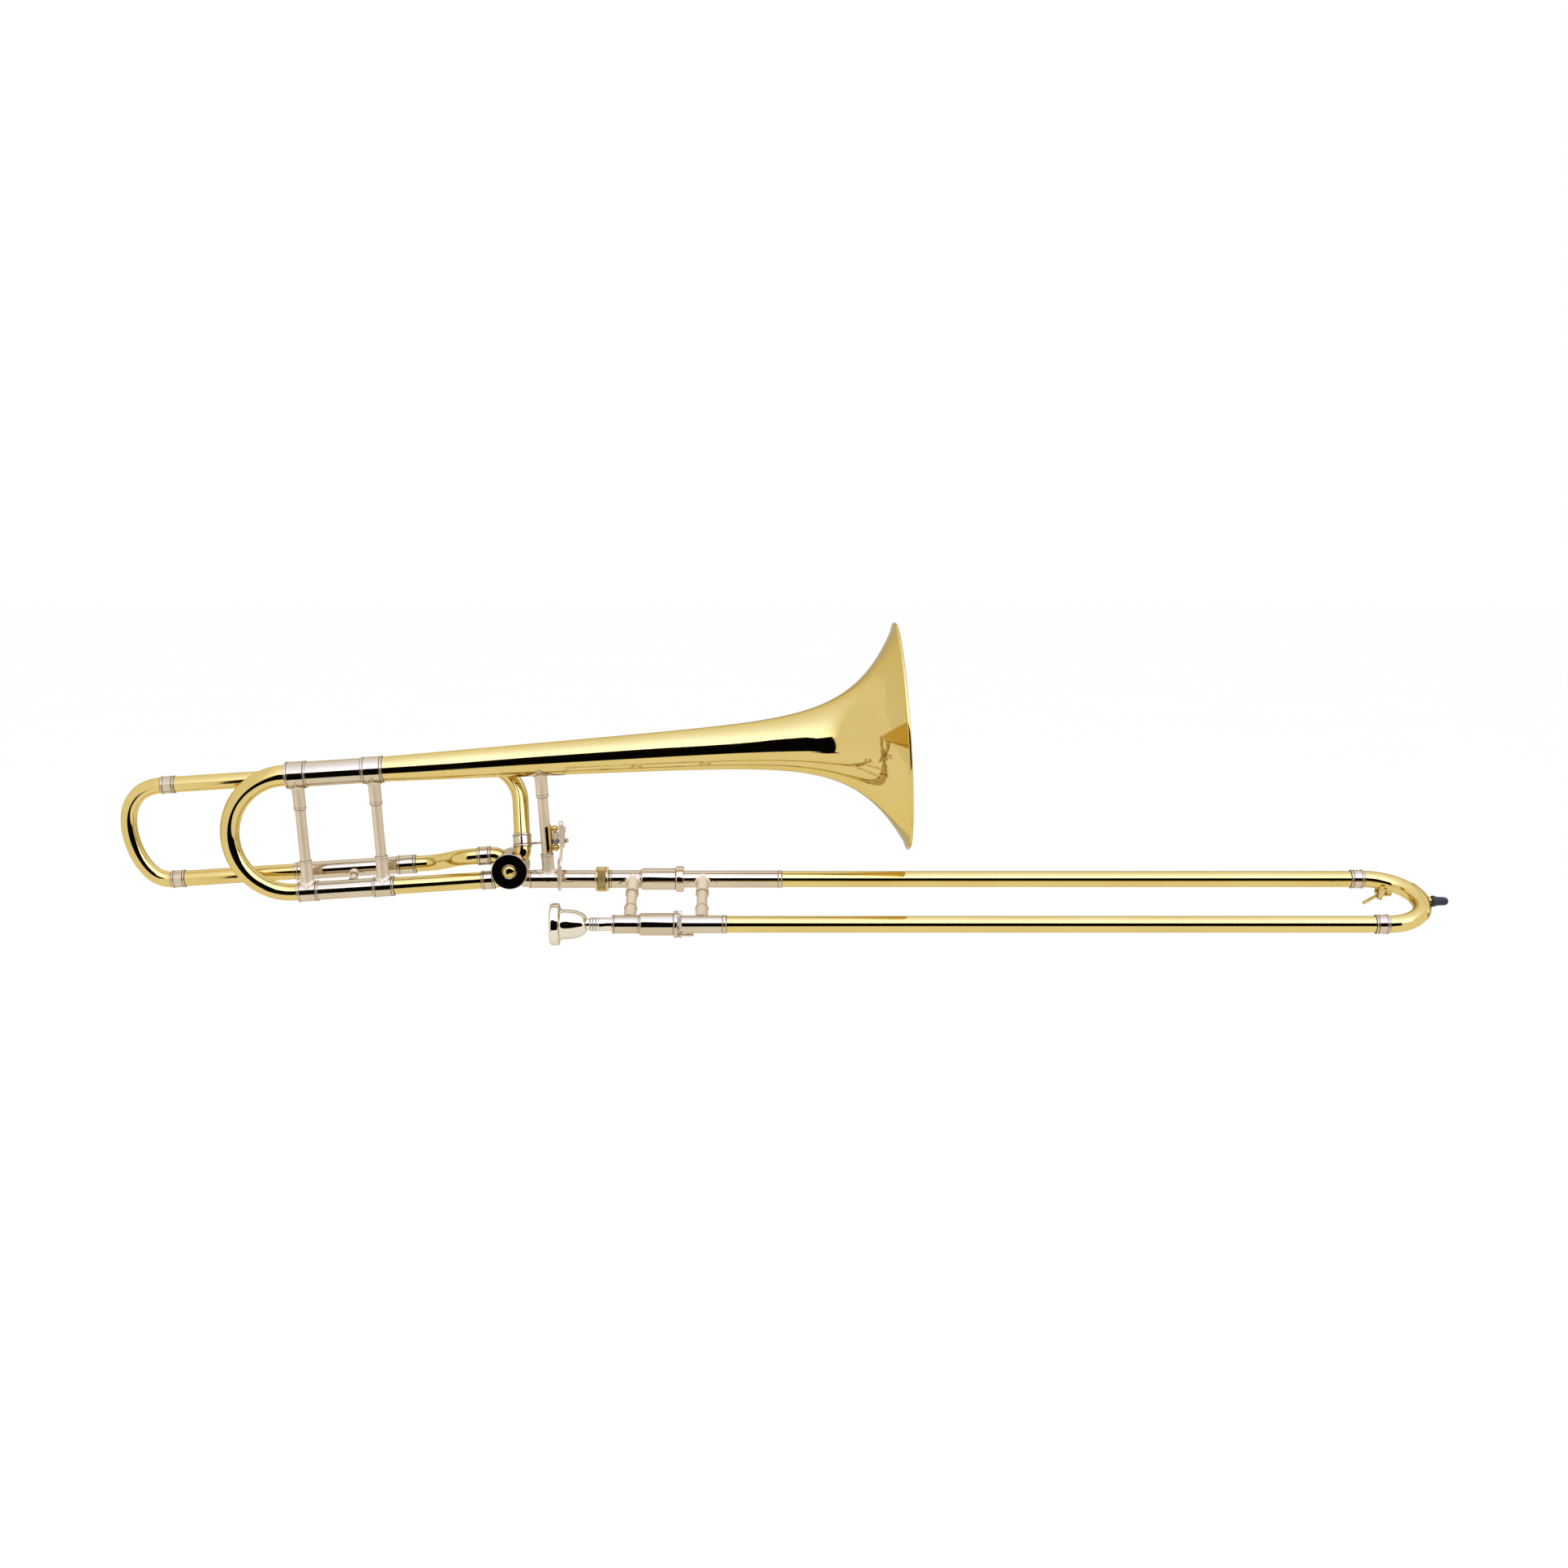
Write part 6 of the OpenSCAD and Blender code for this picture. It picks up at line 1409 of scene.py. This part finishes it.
arms = [slab(bar, -KEY_ARM_HALF, KEY_ARM_HALF, key_side, 0.35) for bar in (front_arm, touch)]
show("water_key", [turned(box_outline(1.2, -HALF, 2.0, HALF), hinge_frame, 40, 0.2), *arms,
                   turned(pad_cup, key_frame @ UPRIGHT, 48, 0.25)], brass_cast)
show("water_key", [turned(pad, key_frame @ UPRIGHT, 40, 0.2)], cork, name="water_key_pad",
     stands_for=False)
spring_frame = key_frame @ shift(-KEY_BACK, COIL_START, KEY_Z) @ turn(-math.pi / 2, "X")
show("water_key_spring", [coil(radius=2.67, pitch=0.9, curls=3, wire_r=0.22, place=spring_frame)],
     wire_steel)
print("water key at X", round(KEY_X, 1))

# %% [markdown]
# ## Nodes that keep their construction mesh
# What lies inside, such as the rotor, keeps the construction mesh. It still gets the finish of its
# material slot, because a taken-apart part is seen from every side.

# %% finishes for the rest
slot_finish = {"lacquered_brass": brass_cast, "nickel_silver": nickel, "silver_plate": silver,
               "knurled_brass": nut_brass, "rotor_brass": brass_cast, "spring_wire": wire_steel,
               "black_rubber": rubber, "cork": cork}
for node, thing in frame["nodes"].items():
    thing.data.materials.clear()
    thing.data.materials.append(slot_finish[slot_of_node[node]])
print("finished", len(frame["nodes"]), "construction nodes")

# %% [markdown]
# ## The room
# A mirror shows the room, so polished brass is lit by what stands round it. The sky is white at
# strength 1, so that a metal which mirrors it shows its own colour.

# %% room
scene = bpy.context.scene
scene.view_settings.view_transform = "Standard"
FLOOR_Z = -0.40
world = bpy.data.worlds.new("white_room")
world.use_nodes = True
scene.world = world
sky = world.node_tree.nodes["Background"]
sky.inputs["Color"].default_value = (1, 1, 1, 1)
sky.inputs["Strength"].default_value = 1.0
print("white sky, strength", sky.inputs["Strength"].default_value)

# %% [markdown]
# The floor is pale and matt. Camera and mirror rays see it mostly as a white glow; the plain surface
# mixed into it keeps the object's soft shadow. One wide lamp overhead gives dull pieces, such as
# rubber and cork, their light and shade.

# %% floor and lamp


def sheet_of(name, corners, faces, material):
    mesh = bpy.data.meshes.new(name)
    mesh.from_pydata(corners, [], faces)
    mesh.materials.append(material)
    thing = bpy.data.objects.new(name, mesh)
    scene.collection.objects.link(thing)
    return thing


def floor_finish():
    f = Finish("pale_floor")
    tone = f.blend(f.noise(3, 2), (0.93, 0.93, 0.93), (0.97, 0.97, 0.97))
    f.set(Base_Color=tone, Roughness=0.9, Specular_IOR_Level=0.0)
    seen = f.node("ShaderNodeMath", {"operation": "MAXIMUM"},
                  {0: f.node("ShaderNodeLightPath", out="Is Camera Ray"),
                   1: f.node("ShaderNodeLightPath", out="Is Glossy Ray")})
    glow = f.node("ShaderNodeEmission", {}, {"Strength": 1.0})
    lit = f.node("ShaderNodeMixShader", {}, {0: 0.85 * seen, 1: Sock(f, f.shader.outputs[0]), 2: glow})
    f.feed(f.tree.nodes["Material Output"].inputs[0], lit)
    return f.material


FLOOR_HALF = 8.0
floor_corners = box_outline(-FLOOR_HALF, -FLOOR_HALF, FLOOR_HALF, FLOOR_HALF)
sheet_of("floor", [(x, y, FLOOR_Z) for x, y in floor_corners], [(0, 1, 2, 3)], floor_finish())
lamp = bpy.data.lights.new("overhead_lamp", "AREA")
lamp.shape, lamp.size, lamp.size_y, lamp.energy = "RECTANGLE", 2.4, 0.6, 16.0
box = bpy.data.objects.new("overhead_lamp", lamp)
box.location = (0.1, -0.7, 1.7)
box.rotation_euler = (math.radians(22), 0, 0)
box.visible_glossy = False
scene.collection.objects.link(box)
print("white room with floor at", FLOOR_Z)

# %% [markdown]
# ## Cards for the metal to mirror
# A tube in an all-white room has no shape, so a photographer stands cards round it. A black flag in
# front draws the dark line along each tube; above it a curved softbox, brightest at its lower edge,
# gives the pale band that fades upwards; a grey card behind darkens the edges. Only mirror rays see
# these cards: the camera looks through them, and they throw no shade.

# %% card finishes


def flag_finish():
    f = Finish("black_flag")
    black = f.blend(f.noise(6, 1), (0.0, 0.0, 0.0), (0.004, 0.004, 0.004))
    return f.set(Base_Color=black, Roughness=0.9, Specular_IOR_Level=0.0)


def grey_finish():
    f = Finish("grey_card")
    grey = f.blend(f.noise(2, 1), (0.60, 0.60, 0.60), (0.66, 0.66, 0.66))
    x = f.node("ShaderNodeSeparateXYZ", {}, {0: f.place()})
    return f.set(Base_Color=(0, 0, 0), Specular_IOR_Level=0.0, Emission_Strength=1.0,
                 Emission_Color=f.blend(f.between(x, -0.35, 0.15), (0.90, 0.90, 0.90), grey))


ARCH_Z, ARCH_R, SOFTBOX_PEAK = 0.05, 1.0, 3.5


def softbox_finish():
    f = Finish("softbox")
    x, y, z = (f.node("ShaderNodeSeparateXYZ", {}, {0: f.place()}, out=k) for k in range(3))
    rise = f.node("ShaderNodeMath", {"operation": "ARCTAN2"}, {0: z - ARCH_Z, 1: -1 * y})
    # degrees up the arch, and the light that it gives there
    rows = [(20, (2.60, 2.80, 3.50)), (48, (1.85, 2.08, 3.20)), (75, (1.38, 1.58, 2.40)),
            (90, (1.22, 1.36, 1.78)), (108, (1.12, 1.20, 1.46)), (140, (1.00, 1.02, 1.10)),
            (152, (0.94, 0.94, 0.97))]
    stops = [(a / 180, tuple(c / SOFTBOX_PEAK for c in colour)) for a, colour in rows]
    glow = f.node("ShaderNodeValToRGB", {"stops": stops}, {0: rise * (1 / math.pi)})
    glow = f.blend(f.between(x, -0.95, -0.3), (1 / SOFTBOX_PEAK,) * 3, glow)
    return f.set(Base_Color=(0, 0, 0), Specular_IOR_Level=0.0, Emission_Strength=SOFTBOX_PEAK,
                 Emission_Color=glow)


def mirror_only(thing):
    thing.visible_camera = thing.visible_shadow = thing.visible_diffuse = False


print("softbox peak", SOFTBOX_PEAK)

# %% [markdown]
# The front flag has a stepped outline, so that the bell and the upright tubes mirror a taller piece
# of it than the slide does. The softbox is a strip bent over the object like part of a barrel.

# %% cards in place
FLAG_Y, FLAG_LEFT, FLAG_RIGHT, FLAG_LOW = -0.85, -0.60, 1.4, FLOOR_Z + 0.002
CARD_HALF, BACK_Y, BACK_TOP = 2.4, 0.9, 0.6
flag_edge = [(FLAG_LEFT, 0.42), (-0.34, 0.41), (-0.25, 0.55), (-0.08, 0.58), (0.02, 0.46), (0.3, 0.42),
             (FLAG_RIGHT, 0.42), (FLAG_RIGHT, -0.21), (0.35, -0.21), (0.02, -0.28), (-0.2, -0.30),
             (-0.35, FLAG_LOW), (FLAG_LEFT, FLAG_LOW)]
flag = flag_finish()
mirror_only(sheet_of("front_flag", [(x, FLAG_Y, z) for x, z in flag_edge],
                     [tuple(range(len(flag_edge)))], flag))
floor_edge = [(FLAG_LEFT, FLAG_Y), (-0.2, FLAG_Y), (-0.34, -0.72), (FLAG_LEFT, -0.72)]
mirror_only(sheet_of("floor_flag", [(x, y, FLAG_LOW) for x, y in floor_edge], [(0, 1, 2, 3)], flag))
arch = [(x, -ARCH_R * cos_deg(a), ARCH_Z + ARCH_R * sin_deg(a))
        for a in range(20, 151, 5) for x in (-CARD_HALF, CARD_HALF)]
rungs = [(2 * k, 2 * k + 1, 2 * k + 3, 2 * k + 2) for k in range(len(arch) // 2 - 1)]
mirror_only(sheet_of("softbox", arch, rungs, softbox_finish()))
back_edge = box_outline(-CARD_HALF, FLOOR_Z, CARD_HALF, BACK_TOP)
mirror_only(sheet_of("back_card", [(x, BACK_Y, z) for x, z in back_edge], [(0, 1, 2, 3)], grey_finish()))
print("flag, softbox and grey card stand round the object")

# %% [markdown]
# ## The camera
# The photograph looks down by 10 degrees from a little right of the middle, with a normal lens.

# %% camera
eye = bpy.data.cameras.new("viewer")
eye.sensor_width, eye.lens, eye.shift_x = 36.0, 45.3, 0.0316
viewer = bpy.data.objects.new("viewer", eye)
viewer.location = (0.1273, -1.855, 0.420)
LOOK_DOWN = 10
viewer.rotation_euler = (math.radians(90 - LOOK_DOWN), 0, 0)
scene.collection.objects.link(viewer)
scene.camera = viewer
print("camera", [round(c, 3) for c in viewer.location])
